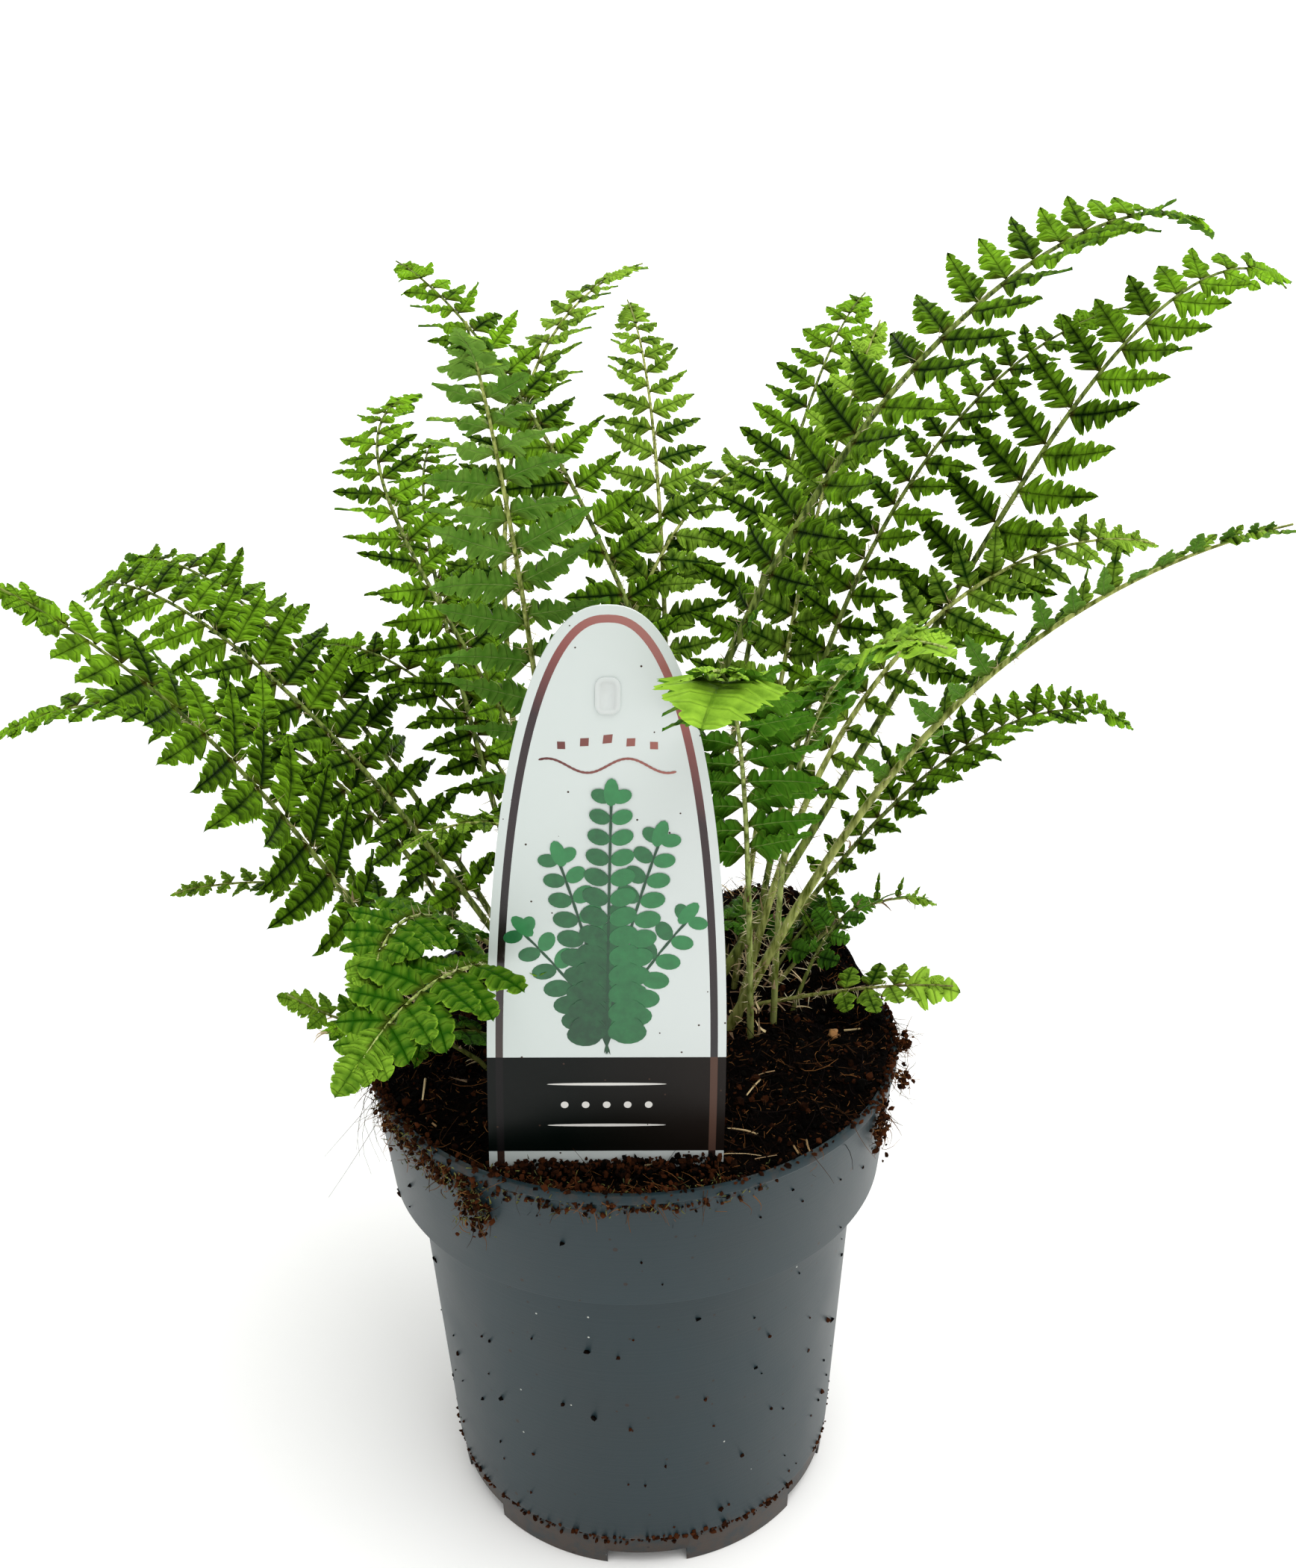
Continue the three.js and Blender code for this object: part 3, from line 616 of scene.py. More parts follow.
def lay_strands(count, start, lean, turn, length, width, curl, tone, rng, flat=1.0):
    """Strands of drawn sizes in millimetres. Start draws a place, and what lean and turn add to."""
    laid = []
    for _ in range(count):
        at, first_lean, heading = start(rng)
        move = strand_at(at, first_lean + drawn(lean, rng), heading + drawn(turn, rng),
                         drawn(length, rng) * MM, drawn(width, rng) * MM, drawn(curl, rng), rng, flat)
        laid.append((move, drawn(tone, rng)))
    return laid


def strand(sides, segments, taper):
    """A bmesh of a thin strand one unit long and one unit thick, narrower to its tip."""
    shape = bmesh.new()
    bmesh.ops.create_cone(shape, cap_ends=True, segments=sides, radius1=0.5, radius2=0.5 * taper,
                          depth=1, matrix=Matrix.Translation((0, 0, 0.5)))
    long_edges = [e for e in shape.edges if abs(e.verts[0].co.z - e.verts[1].co.z) > 0.5]
    if segments > 1:
        bmesh.ops.subdivide_edges(shape, edges=long_edges, cuts=segments - 1)
    return shape


def under_rim(rng):
    """The start of a fibre that hangs from the rim, most of them at its right and its left."""
    angle = math.radians(rng.choice((rng.gauss(-12, 12), rng.gauss(200, 10), rng.uniform(0, 360))))
    return round_pot(RIM_RADIUS, angle, POT_HEIGHT + 0.4), 0, angle


def left_of_rim(rng):
    """The start of a long root that hangs at the left of the rim."""
    angle = math.radians(rng.gauss(201, 5))
    return round_pot(RIM_RADIUS, angle, POT_HEIGHT), 0, angle


ALL_ROUND = (0, math.tau)
fibre_brown = tone_material("root_fibre", "0D0402", "80542C", 2 * MM, 0.1 * MM, Roughness=0.85,
                            Specular_IOR_Level=0.1)
laid = []
for _ in range(FIBRE_COUNT):
    at = on_soil(rng, 0.5, 0.3 * MM)
    length = rng.choice(FIBRE_LENGTHS) * rng.uniform(0.7, 1.3) * MM
    move = strand_at(at, rng.uniform(-0.1, 0.7), rng.uniform(*ALL_ROUND), length,
                     rng.uniform(0.2, 0.45) * MM, rng.uniform(0.3, 2.4), rng)
    laid.append((move, rng.choice((-0.3, -0.2, 0.0, 0.2, 0.7))))
for clump in CLUMPS:
    laid += lay_strands(clump.fibres, lambda rng: (in_clump(clump, rng), 0, 0), (-1.2, 0.6), ALL_ROUND,
                        (2, 8), (0.2, 0.4), (0.3, 2.4), (0.1, 1), rng)
laid += lay_strands(HANGING_FIBRES, under_rim, (-1.1, 0.3), (-1, 1), (3, 11), (0.15, 0.3),
                    (0.3, 1.8), (0, 0.7), rng)
laid += lay_strands(LONG_ROOTS, left_of_rim, (-1.5, -0.7), (-0.6, 0.6), (14, 32), 0.2, (0.5, 2.2),
                    0.1, rng)
fibres = copies("peat_fibres", strand(3, 4, 0.4), fibre_brown, laid)

laid = lay_strands(FLECK_COUNT, lambda rng: (on_soil(rng, 0.5, 0.5 * MM), 0, 0), (-0.2, 0.9),
                   ALL_ROUND, (0.7, 2.2), (0.2, 0.38), 0, [-0.3, -0.1, 0.1, 0.4, 1.2], rng)
flecks = copies("peat_flecks", strand(3, 1, 0.5), fibre_brown, laid)


# Straws: a few dry stalks of grass and sedge that came with the peat and lie loose on it, pale and
# nearly straight.
STRAW_COUNT = 40
straw_pale = tone_material("dry_straw", "7F5A32", "C8AF80", 1.5 * MM, 0.08 * MM, Roughness=0.6)
laid = lay_strands(STRAW_COUNT, lambda rng: (on_soil(rng, 6, 0.8 * MM), 0, 0), (-0.05, 0.2),
                   ALL_ROUND, (5, 15), (0.3, 0.8), 0.3, (0.2, 1), rng)
straws = copies("straws", strand(5, 3, 0.7), straw_pale, laid, smooth=50)


# Moss: short olive tufts that grew on the damp peat, in the clumps along the left and the front of
# the rim.
MOSS_COUNT = 520
MOSSY_CLUMPS = CLUMPS[:5]
moss_green = tone_material("rim_moss", "282F0E", "807F36", 1.5 * MM, 0.1 * MM, Roughness=0.9)
laid = lay_strands(MOSS_COUNT, lambda rng: (in_clump(rng.choice(MOSSY_CLUMPS), rng), 0, 0),
                   (-0.6, 1.3), ALL_ROUND, (0.8, 2.2), (0.3, 0.6), 0.8, (0, 0.8), rng)
moss = copies("rim_moss", strand(3, 2, 0.3), moss_green, laid)


# A chip of bark, tan where it split, that came with the peat and lies on the soil at the right.
# It has the form of a crumb, larger and with more faces.
CHIP_AT = (63.9, -9.6)
CHIP_SIZE = 5
chip_wood = tone_material("split_bark_chip", "7F4D22", "BF8D52", 1.2 * MM, 0.3 * MM, Roughness=0.8)
chip = bmesh.new()
bmesh.ops.create_icosphere(chip, subdivisions=2, radius=1)
chip_middle = Vector((*CHIP_AT, crumbled(*CHIP_AT) + 0.8)) * MM
chip_move = crumb_at(chip_middle, CHIP_SIZE * MM, random.Random(4))
chip_piece = copies("bark_chip", chip, chip_wood, [(chip_move, 0.5)], smooth=40)


# Plant label: an arched card of white plastic sheet, die-cut with a stake below, printed with a
# dark rose line inside its edge and a dark band, and pushed into the peat at the front.
LABEL_WIDTH = 68
LABEL_FOOT = 152
LABEL_RISE = 177
LABEL_THICKNESS = 0.8
LABEL_X = -9
LABEL_Y = -62
LABEL_LEAN = 1.8
LABEL_CORNER = 6
CORNER_STEPS = 6
STAKE_WIDTH = 14
STAKE_DEPTH = 40
BORDER_INSET = 2.4
BORDER_WIDTH = 2.1
BAND_LOW = 12
BAND_HIGH = 44
ARCH_STEPS = 40
WHITE, BORDER, BAND, BORDER_ON_BAND = 0, 1, 2, 3
BORDER_ROSES = ((0.0, "352620"), (0.3, "120A10"), (0.7, "261117"), (0.84, "82433E"), (0.97, "9E635B"))
label_place = (Matrix.Translation(Vector((LABEL_X, LABEL_Y, LABEL_FOOT)) * MM)
               @ Matrix.Rotation(math.radians(LABEL_LEAN), 4, "Y"))


def label_paper(name, left, right, low=-0.035, high=0.02):
    """Printed plastic card: glossy, one ink that runs from left to right, with faint dirt."""
    material, shader = new_material(name, Roughness=0.3, Specular_IOR_Level=0.16)
    place = add_node(shader, "TexCoord").outputs["Object"]
    across = add_node(shader, "SeparateXYZ", inputs={"Vector": place}).outputs["X"]
    share = add_node(shader, "MapRange", inputs={"Value": across, "From Min": low, "From Max": high})
    ink = add_node(shader, "Mix", {"data_type": "RGBA"}, {
        SHARE: share, FIRST: linear(left), SECOND: linear(right)})
    cells = add_node(shader, "TexVoronoi", inputs={"Vector": place, "Scale": 1 / (5 * MM)})
    speck = add_node(shader, "Math", {"operation": "LESS_THAN"}, {0: cells, 1: 0.06})
    stained = add_node(shader, "Mix", {"data_type": "RGBA"}, {
        SHARE: speck, FIRST: ink, SECOND: linear("3A2A22")})
    haze = add_node(shader, "TexNoise", inputs={
        "Vector": place, "Scale": 1 / (12 * MM), "Detail": 5})
    gloss = add_node(shader, "MapRange", inputs={"Value": haze, "To Min": 0.24, "To Max": 0.42})
    feed(shader, {"Base Color": stained, "Roughness": gloss})
    return material


card_white = label_paper("white_printed_card", "C8D0CD", "CBD1CF")
band_ink = label_paper("dark_band_ink", "020705", "1B1411", low=-0.02, high=0.03)
border_over_band = label_paper("brown_line_ink", "121011", "523C33", low=-0.03, high=0.02)

# The border's ink runs from rose at the top of the arch to plum at the sides and brown lower right.
border_ink, shader = new_material("rose_line_ink", Roughness=0.26, IOR=1.5)
place = add_node(shader, "TexCoord").outputs["Object"]
split = add_node(shader, "SeparateXYZ", inputs={"Vector": place}).outputs
leaning = add_node(shader, "Math", {"operation": "MULTIPLY_ADD"}, {
    0: split["X"], 1: 0.75, 2: split["Z"]})
share = add_node(shader, "MapRange", inputs={"Value": leaning, "From Min": 0.16, "From Max": 0.335})
run = add_node(shader, "ValToRGB", inputs={"Fac": share})
set_stops(run, BORDER_ROSES)
feed(shader, {"Base Color": run})


def arch_outline():
    """Outline of the card from its lower right corner, in millimetres from its middle foot."""
    half = LABEL_WIDTH / 2
    points = [(STAKE_WIDTH / 2, 0), (half - LABEL_CORNER, 0)]
    for i in range(1, CORNER_STEPS):
        angle = math.pi / 2 * i / CORNER_STEPS
        width = half - LABEL_CORNER * (1 - math.sin(angle))
        points.append((width, LABEL_CORNER * (1 - math.cos(angle))))
    points.append((half, LABEL_CORNER))
    for i in range(ARCH_STEPS + 1):
        share = math.sin(math.pi / 2 * i / ARCH_STEPS) ** 0.8
        width = half * (1 - share ** 2.4) ** 0.42
        points.append((width, LABEL_CORNER * 2 + (LABEL_RISE - LABEL_CORNER * 2) * share))
    return points + [(-x, z) for x, z in reversed(points) if x > 0]


shape = bmesh.new()
ring = [shape.verts.new(Vector((x, -LABEL_THICKNESS / 2, z)) * MM) for x, z in arch_outline()]
card = shape.faces.new(ring)
shape.normal_update()
bmesh.ops.inset_region(shape, faces=[card], thickness=BORDER_INSET * MM, use_boundary=True,
                       use_even_offset=True)
border = bmesh.ops.inset_region(shape, faces=[card], thickness=BORDER_WIDTH * MM, use_boundary=True,
                                use_even_offset=True)["faces"]
for face in border:
    face.material_index = BORDER
for level in (BAND_LOW, BAND_HIGH):
    bmesh.ops.bisect_plane(shape, geom=shape.verts[:] + shape.edges[:] + shape.faces[:],
                           plane_co=(0, 0, level * MM), plane_no=(0, 0, 1))
for face in shape.faces:
    if BAND_LOW * MM < face.calc_center_bounds().z < BAND_HIGH * MM:
        face.material_index = BORDER_ON_BAND if face.material_index == BORDER else BAND
stake_tip = [shape.verts.new(Vector((x, -LABEL_THICKNESS / 2, -STAKE_DEPTH)) * MM) for x in (1, -1)]
shape.faces.new([ring[-1], ring[0]] + stake_tip)
bmesh.ops.recalc_face_normals(shape, faces=shape.faces)
if shape.faces[0].normal.y > 0:
    bmesh.ops.reverse_faces(shape, faces=shape.faces)
printed = set(shape.faces)
everything = shape.verts[:] + shape.edges[:] + shape.faces[:]
body = bmesh.ops.extrude_face_region(shape, geom=everything, use_keep_orig=True)["geom"]
moved = [v for v in body if isinstance(v, bmesh.types.BMVert)]
bmesh.ops.translate(shape, verts=moved, vec=(0, LABEL_THICKNESS * MM, 0))
for face in shape.faces:
    if face not in printed:
        face.material_index = WHITE
bmesh.ops.recalc_face_normals(shape, faces=shape.faces)
bmesh.ops.transform(shape, matrix=label_place, verts=shape.verts)
label = new_piece("label_card", shape, [card_white, border_ink, band_ink, border_over_band], 30)
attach(label, "root")
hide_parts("label")


# The print: a spray of five stems with pairs of round leaves, a wavy line and a row of lozenges over
# it, and plain rules with dots on the band, in ink that stands a hair's breadth proud of the card.
INK_PROUD = 0.04
INK_STEP = 0.003
SPRIG_FOOT = 46
# Each stem of the spray: how far its tip leans sideways, how high it is, and its pairs of leaves.
SPRAY = ((-23, 84, 7), (22, 88, 7), (-13, 106, 10), (14, 112, 11), (1, 124, 13))
ORNAMENTS_AT = (-12, -6, 0, 6, 12)
LOZENGE_LEVEL = 141
WAVE_LEVEL = 133.5
WAVE_WIDTH = 34
WAVE_STEPS = 30
RULE_LEVELS = (35, 21)
RULE_SIZE = (34, 0.9)
DOT_LEVEL = 28
DOT_SIZE = (2.2, 2.2)
sprig_ink = tone_material("green_sprig_ink", "0A3C22", "2A7F45", 3 * MM, 0.01 * MM, Roughness=0.3)
pale_ink = label_paper("pale_rule_ink", "D4D2CD", "D4D2CD")
rose_ink = label_paper("rose_ornament_ink", "351D24", "A66B62")


def printed_shape(shape, at, size, turn, steps, layer=0, pointed=False):
    """Adds a flat oval of ink to a bmesh, with its ends drawn out if pointed, over lower layers."""
    disc = bmesh.ops.create_cone(shape, cap_ends=True, segments=steps, radius1=1, radius2=1,
                                 depth=INK_PROUD * 2 * MM)["verts"]
    rotation = Matrix.Rotation(math.radians(turn), 4, "Y")
    for vert in disc:
        x, z = vert.co.x, vert.co.y
        if pointed:
            z *= (1 - 0.6 * abs(x)) * 1.25
        flat = Vector((x * size[0] / 2, 0, z * size[1] / 2)) * MM
        depth = -(LABEL_THICKNESS / 2 + layer * INK_STEP) * MM - vert.co.z
        vert.co = rotation @ flat + Vector((at[0] * MM, depth, at[1] * MM))
    return disc


def lay_print(name, shape, ink):
    """Lays a bmesh of ink on the card, as a piece."""
    bmesh.ops.recalc_face_normals(shape, faces=shape.faces)
    bmesh.ops.transform(shape, matrix=label_place, verts=shape.verts)
    return new_piece(name, shape, [ink], 30)


shape = bmesh.new()
tones = shape.verts.layers.float.new("tone")
layer = 0
for reach, top, pairs in SPRAY:
    for i in range(pairs):
        share = (i + 1) / pairs
        middle = Vector((reach * share ** 1.5, SPRIG_FOOT + (top - SPRIG_FOOT) * share))
        along = Vector((reach * 1.5 * share ** 0.5, top - SPRIG_FOOT)).normalized()
        lean = math.degrees(math.atan2(along.x, along.y))
        size = 10.5 - 5 * share
        for vert in printed_shape(shape, middle - along * 2, (0.8, 10), lean, 8, layer):
            vert[tones] = 0.0
        for side in (-1, 1):
            out = Vector((along.y, -along.x)) * side
            at = middle + out * size * 0.5 + along * size * 0.15
            layer += 1
            leaf = printed_shape(shape, at, (size, size * 0.72), lean - side * 25, 16, layer)
            for vert in leaf:
                vert[tones] = 0.2 + 0.45 * share + 0.18 * side
    layer += 1
    for vert in printed_shape(shape, (reach, top + 2), (4, 8), lean, 12, layer):
        vert[tones] = 0.85
sprig_print = lay_print("label_sprig", shape, sprig_ink)
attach(sprig_print, "root")

shape = bmesh.new()
for x in ORNAMENTS_AT:
    at = (x, LOZENGE_LEVEL - abs(x) * 0.15)
    printed_shape(shape, at, (3, 3 - abs(x) * 0.06), 45, 4, pointed=True)
for i in range(WAVE_STEPS):
    x = (i / (WAVE_STEPS - 1) - 0.5) * WAVE_WIDTH
    slope = math.degrees(math.atan(0.6 * math.cos(x * 0.3)))
    printed_shape(shape, (x, WAVE_LEVEL + 2 * math.sin(x * 0.3)), (2, 0.7), -slope, 10, i)
ornament = lay_print("label_ornament", shape, rose_ink)
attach(ornament, "root")

shape = bmesh.new()
for level in RULE_LEVELS:
    printed_shape(shape, (0, level), RULE_SIZE, 0, 24)
for x in ORNAMENTS_AT:
    printed_shape(shape, (x, DOT_LEVEL), DOT_SIZE, 0, 16)
rules = lay_print("label_rules", shape, pale_ink)
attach(rules, "root")


# The hanger boss: clear plastic pressed through the card near its top, a rounded block with a
# dished middle, by which the label hangs before it is used.
HANGER_WIDTH = 6.5
HANGER_HEIGHT = 10
HANGER_PROUD = 0.5
HANGER_DROP = 24
HANGER_CORNER = 2.4
HANGER_EDGE = (0.25, 0.1)
HANGER_BRIM = 0.9
HANGER_DISH = (0.3, 0.35)
boss_clear, shader = new_material("pressed_clear_plastic", Base_Color=linear("C5CAC8"),
                                  Roughness=0.12, IOR=1.5)
place = add_node(shader, "TexCoord").outputs["Object"]
waves = add_node(shader, "TexNoise", inputs={"Vector": place, "Scale": 1 / (3 * MM), "Detail": 2})
relief = add_node(shader, "Bump", inputs={"Strength": 0.3, "Distance": 0.2 * MM, "Height": waves})
feed(shader, {"Normal": relief})
shape = bmesh.new()
boss_size = Matrix.Diagonal((HANGER_WIDTH * MM, HANGER_PROUD * 2 * MM, HANGER_HEIGHT * MM, 1))
boss_at = Matrix.Translation(Vector((0, -LABEL_THICKNESS / 2, LABEL_RISE - HANGER_DROP)) * MM)
bmesh.ops.create_cube(shape, size=1, matrix=boss_at @ boss_size)
upright = [e for e in shape.edges if abs(e.verts[0].co.y - e.verts[1].co.y) > 0.5 * MM]
bmesh.ops.bevel(shape, geom=upright, affect="EDGES", offset=HANGER_CORNER * MM, segments=6,
                profile=0.5, material=-1)
front = [min(shape.faces, key=lambda f: f.calc_center_median().y)]
bmesh.ops.inset_region(shape, faces=front, thickness=HANGER_EDGE[0] * MM, depth=HANGER_EDGE[1] * MM)
bmesh.ops.inset_region(shape, faces=front, thickness=HANGER_BRIM * MM)
bmesh.ops.inset_region(shape, faces=front, thickness=HANGER_DISH[0] * MM, depth=-HANGER_DISH[1] * MM)
bmesh.ops.transform(shape, matrix=label_place, verts=shape.verts)
boss = new_piece("label_hanger", shape, [boss_clear], 50)
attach(boss, "root")


# Fronds: each a stem that arches from the crown, with two rows of lobed leaflets that shrink to the
# tip. Their lines are their solids' own; the lobes, veins, curl and hairs are added here.
CROWN_HEIGHT = 171
BURIED = 16
LINE_SAMPLES = 320
STEM_SIDES = 8
STEM_STEP = 5
STEM_TIP_WIDTH = 0.6
LOBE_OUTLINE = (0, 0.64, 0.95, 0.86, 1, 0.84, 0.94, 0.6, 0)
LOBE_COLUMNS = len(LOBE_OUTLINE) - 1
LOBE_LENGTH = 4
LOBES = (3, 7)
JUVENILE_LOBES = 3
LEAF_ROWS = 4
LEAF_THICKNESS = 0.3
SHORTEST_LEAFLET = 4
LEAFLET_PITCH = 0.45
YOUNG_PITCH = 0.34
LEAFLET_GAPS = (7, 13)
FEWEST_PAIRS = 5
# How much later than its partner a leaflet of the far row leaves the stem, in shares of a gap.
LATER = 0.22
# What is tried for each leaflet until it clears all else: folds in degrees, then shares of its length.
FOLDS = (0, 14, -14, 28, -28, 42, -42, 56, -56)
SHARES = (1, 0.75, 0.5, 0.3)
Frond = namedtuple("Frond", "name heading rise droop sway length x y bend roll leaflet lift bare age")
FRONDS = [Frond(*row) for row in (
    ("front_1", 256, 80, 44, 12, 265, -18, -7, 2, 0, 26, 4, 0.34, "fresh"),
    ("front_2", 262, 78, 60, -3, 194, 37, -13, 2, 0, 24, 8, 0.36, "young"),
    ("front_3", 281, 86, 81, 13, 196, 45, -5, 2, 15, 18, 8, 0.5, "young"),
    ("front_4", 247, 56, 98, -9, 142, -18, -14, 2, -10, 22, 4, 0.4, "young"),
    ("front_5", 222, 65, 98, 45, 130, -33, -5, 2, -15, 18, 4, 0.4, "young"),
    ("front_6", 212, 86, 110, 0, 121, -8, -1, 2, 0, 13, 4, 0.4, "fresh"),
    ("right_1", 352, 78, 100, 54, 366, -4, -4, 2, 12, 26, 10, 0.36, "mature"),
    ("right_2", 10, 58, 97, 22, 320, 23, 5, 6, 32, 27, 8, 0.38, "mature"),
    ("right_3", 36, 79, 74, -10, 272, 38, 13, 2, 20, 18, 12, 0.36, "mature"),
    ("right_4", 338, 66, 48, 1, 234, 31, -8, 2, -12, 20, 34, 0.42, "fresh"),
    ("right_5", 20, 76, 93, -5, 222, 34, -2, 2, 30, 18, 8, 0.5, "fresh"),
    ("right_6", 23, 50, 87, 4, 185, 39, 17, 2, 25, 15, 34, 0.3, "mature"),
    ("right_7", 15, 50, 83, -1, 66, 46, 12, 2, 0, 10, 44, 0.25, "fresh"),
    ("right_8", 349, 17, 14, -4, 66, 38, 3, 2, 20, 10, 8, 0.4, "fresh"),
    ("right_9", 40, 62, 80, 0, 48, 52, 1, 2, 20, 10, 10, 0.3, "young"),
    ("left_1", 206, 66, 27, 5, 200, -62, -6, 2, -34, 25, 6, 0.2, "mature"),
    ("left_2", 176, 59, 89, -50, 252, -26, 3, 2, -22, 23, 8, 0.34, "mature"),
    ("left_3", 158, 59, 80, -26, 240, -30, 13, 2, -6, 22, 12, 0.34, "mature"),
    ("left_4", 172, 66, 98, 17, 202, -42, 8, 2, -8, 22, 10, 0.24, "mature"),
    ("left_5", 167, 30, 40, 23, 136, -20, 17, 2, -14, 13, 14, 0.3, "fresh"),
    ("left_6", 158, 78, 93, -13, 162, -15, 13, 2, -25, 18, 10, 0.4, "mature"),
    ("left_7", 197, 12, -33, -5, 74, -38, -12, 2, -25, 13, 6, 0.3, "young"),
    ("left_8", 200, 45, 60, 0, 52, -48, -24, 2, -20, 11, 10, 0.25, "mature"),
    ("back_1", 84, 72, 62, 14, 268, 12, 18, 2, 0, 22, 8, 0.34, "fresh"),
    ("back_2", 62, 72, 65, 5, 276, 22, 15, 2, 8, 24, 8, 0.34, "mature"),
    ("back_3", 54, 76, 46, 10, 235, 34, 16, 2, 8, 22, 8, 0.34, "fresh"),
    ("back_4", 146, 80, 73, -27, 300, 32, 25, 1.5, -12, 25, 8, 0.36, "mature"),
    ("back_5", 125, 86, 81, -77, 289, -31, 25, 1.5, -8, 21, 8, 0.36, "fresh"),
    ("back_6", 222, 86, 92, -158, 263, -13, 5, 1.5, -10, 20, 8, 0.36, "mature"),
    ("back_7", 139, 70, 84, -57, 250, -24, -4, 2, -8, 20, 8, 0.36, "mature"),
    ("back_8", 60, 80, 98, -12, 228, -19, 26, 2, 8, 21, 8, 0.4, "fresh"),
)]
# Basal leaves: short juvenile fronds round the crown, too small for solids of their own.
SPROUTS = [Frond(*row) for row in (
    ("basal_1", 285, 62, 70, 10, 40, 27, 38, 2, 0, 14, 10, 0.1, "basal"),
    ("basal_2", 290, 66, 90, 0, 34, 30, 50, 2, 10, 14, 10, 0.1, "basal"),
    ("basal_3", 228, 50, 70, -20, 34, -44, 2, 2, 0, 12, 12, 0.15, "basal"),
    ("basal_4", 214, 38, 60, 20, 30, -43, -12, 2, 0, 11, 14, 0.15, "basal"),
    ("basal_5", 20, 58, 70, 30, 40, 44, 14, 2, 0, 12, 12, 0.3, "basal"),
)]
JUVENILE = {"right_8", "right_9"} | {frond.name for frond in SPROUTS}
# Fronds that are darker or lighter than others of their age.
SHADES = {
    "right_4": -0.25, "back_3": 0.15, "right_2": 0.08, "back_1": 0.05, "front_6": -0.15,
    "right_9": 0.35, "right_8": 0.15, "front_3": 0.15, "front_4": -0.28, "front_5": -0.25,
    "left_1": -0.08, "left_2": -0.06, "left_3": -0.12, "left_4": -0.1, "left_6": -0.15,
}
# Fronds whose leaflets start lower on the stem than those of their solids, as shares of its length.
LEAFY_FROM = {
    "left_1": 0.16, "left_2": 0.17, "left_3": 0.16, "left_4": 0.16, "left_6": 0.2,
    "back_6": 0.26, "back_7": 0.24, "right_6": 0.2, "right_5": 0.34,
}
# How wide and long some fronds' leaflets are, how thick their stems, and how much leaflets turn.
WIDTHS = {"right_4": 0.85, "right_6": 1.35, "right_7": 0.4}
LENGTHS = {
    "left_1": 1.15, "left_2": 1.1, "left_3": 1.1, "left_4": 1.1, "right_4": 0.85, "right_7": 1.5,
}
STOUTER = {"right_4": 1.45, "right_5": 1.25, "right_2": 1.25, "right_1": 1.15}
TWIST = 0.6
TWISTS = {
    "right_4": 1.2, "left_3": 1.4, "left_5": 1.2, "front_1": 1.3, "back_4": 1.2, "back_6": 1.2,
}
DRIFT = 12
DRIFTS = {"right_4": 32, "left_3": 24, "front_1": 16, "back_4": 20, "back_6": 20}
# Fronds whose leaflets end in a narrow tail, and ribbons whose leaflets are grown together.
TAIL = 0.25
TAILS = {"front_1": 0.8, "back_4": 0.8, "back_5": 0.7, "back_6": 0.8, "back_7": 0.7, "left_3": 0.5}
ROUNDED = {"front_4": 0.75, "front_5": 0.75, "front_3": 0.5, "front_2": 0.35}
# Leaflets hang or rise by a share of their length. Some bend up, or hang more, on the near side of
# these fronds, except near the tip.
BOWS = (-0.34, 0.02)
NEAR_BOWS = {"right_1": (-0.1, 0.2), "right_2": (-0.1, 0.2), "front_2": (-0.5, -0.2)}
NEAR_BOWS_TO = 0.75
# Tips: length, half width as a share of it, lobes, depth of their cuts, roundness and bow.
Tip = namedtuple("Tip", "length half lobes cut rounded bow")
TIPS = {
    "front_2": Tip(31, 0.54, 7, 0.4, 0.45, -0.6),
    "front_3": Tip(34, 0.36, 7, 0.75, 0.1, -0.3),
    "right_7": Tip(10, 0.5, 5, 0.6, 0.3, -0.2),
    "right_8": Tip(15, 0.6, 3, 0.65, 0.6, -0.2),
    "right_9": Tip(8, 0.6, 7, 0.4, 0.5, -0.2),
}
# For each age: dark and light colour above, the same below, and the same of the stem.
# Below, the dark colour is paler than above, the undersides' own paler green, and the light colour
# is darker than above, painted shade of undersides turned away from the light.
AGES = {
    "mature": ("061A00", "80B420", "3A6418", "648E2E", "2A3A06", "76863C"),
    "fresh": ("0A2800", "92BC38", "446E1E", "78A040", "46520A", "A4AC60"),
    "young": ("1A4800", "8EB834", "34640E", "64942A", "526218", "AAB86C"),
    "basal": ("0C2204", "4E8020", "30540E", "4C701C", "33440E", "6E8238"),
}
# How strongly leaflets' relief is painted in their colour: shade in the veins above, light on the
# lobes' crowns.
RELIEF_SHADING = 0.4
YOUNG_RELIEF_SHADING = 0.25
STEM_BROWN = (215, 172)


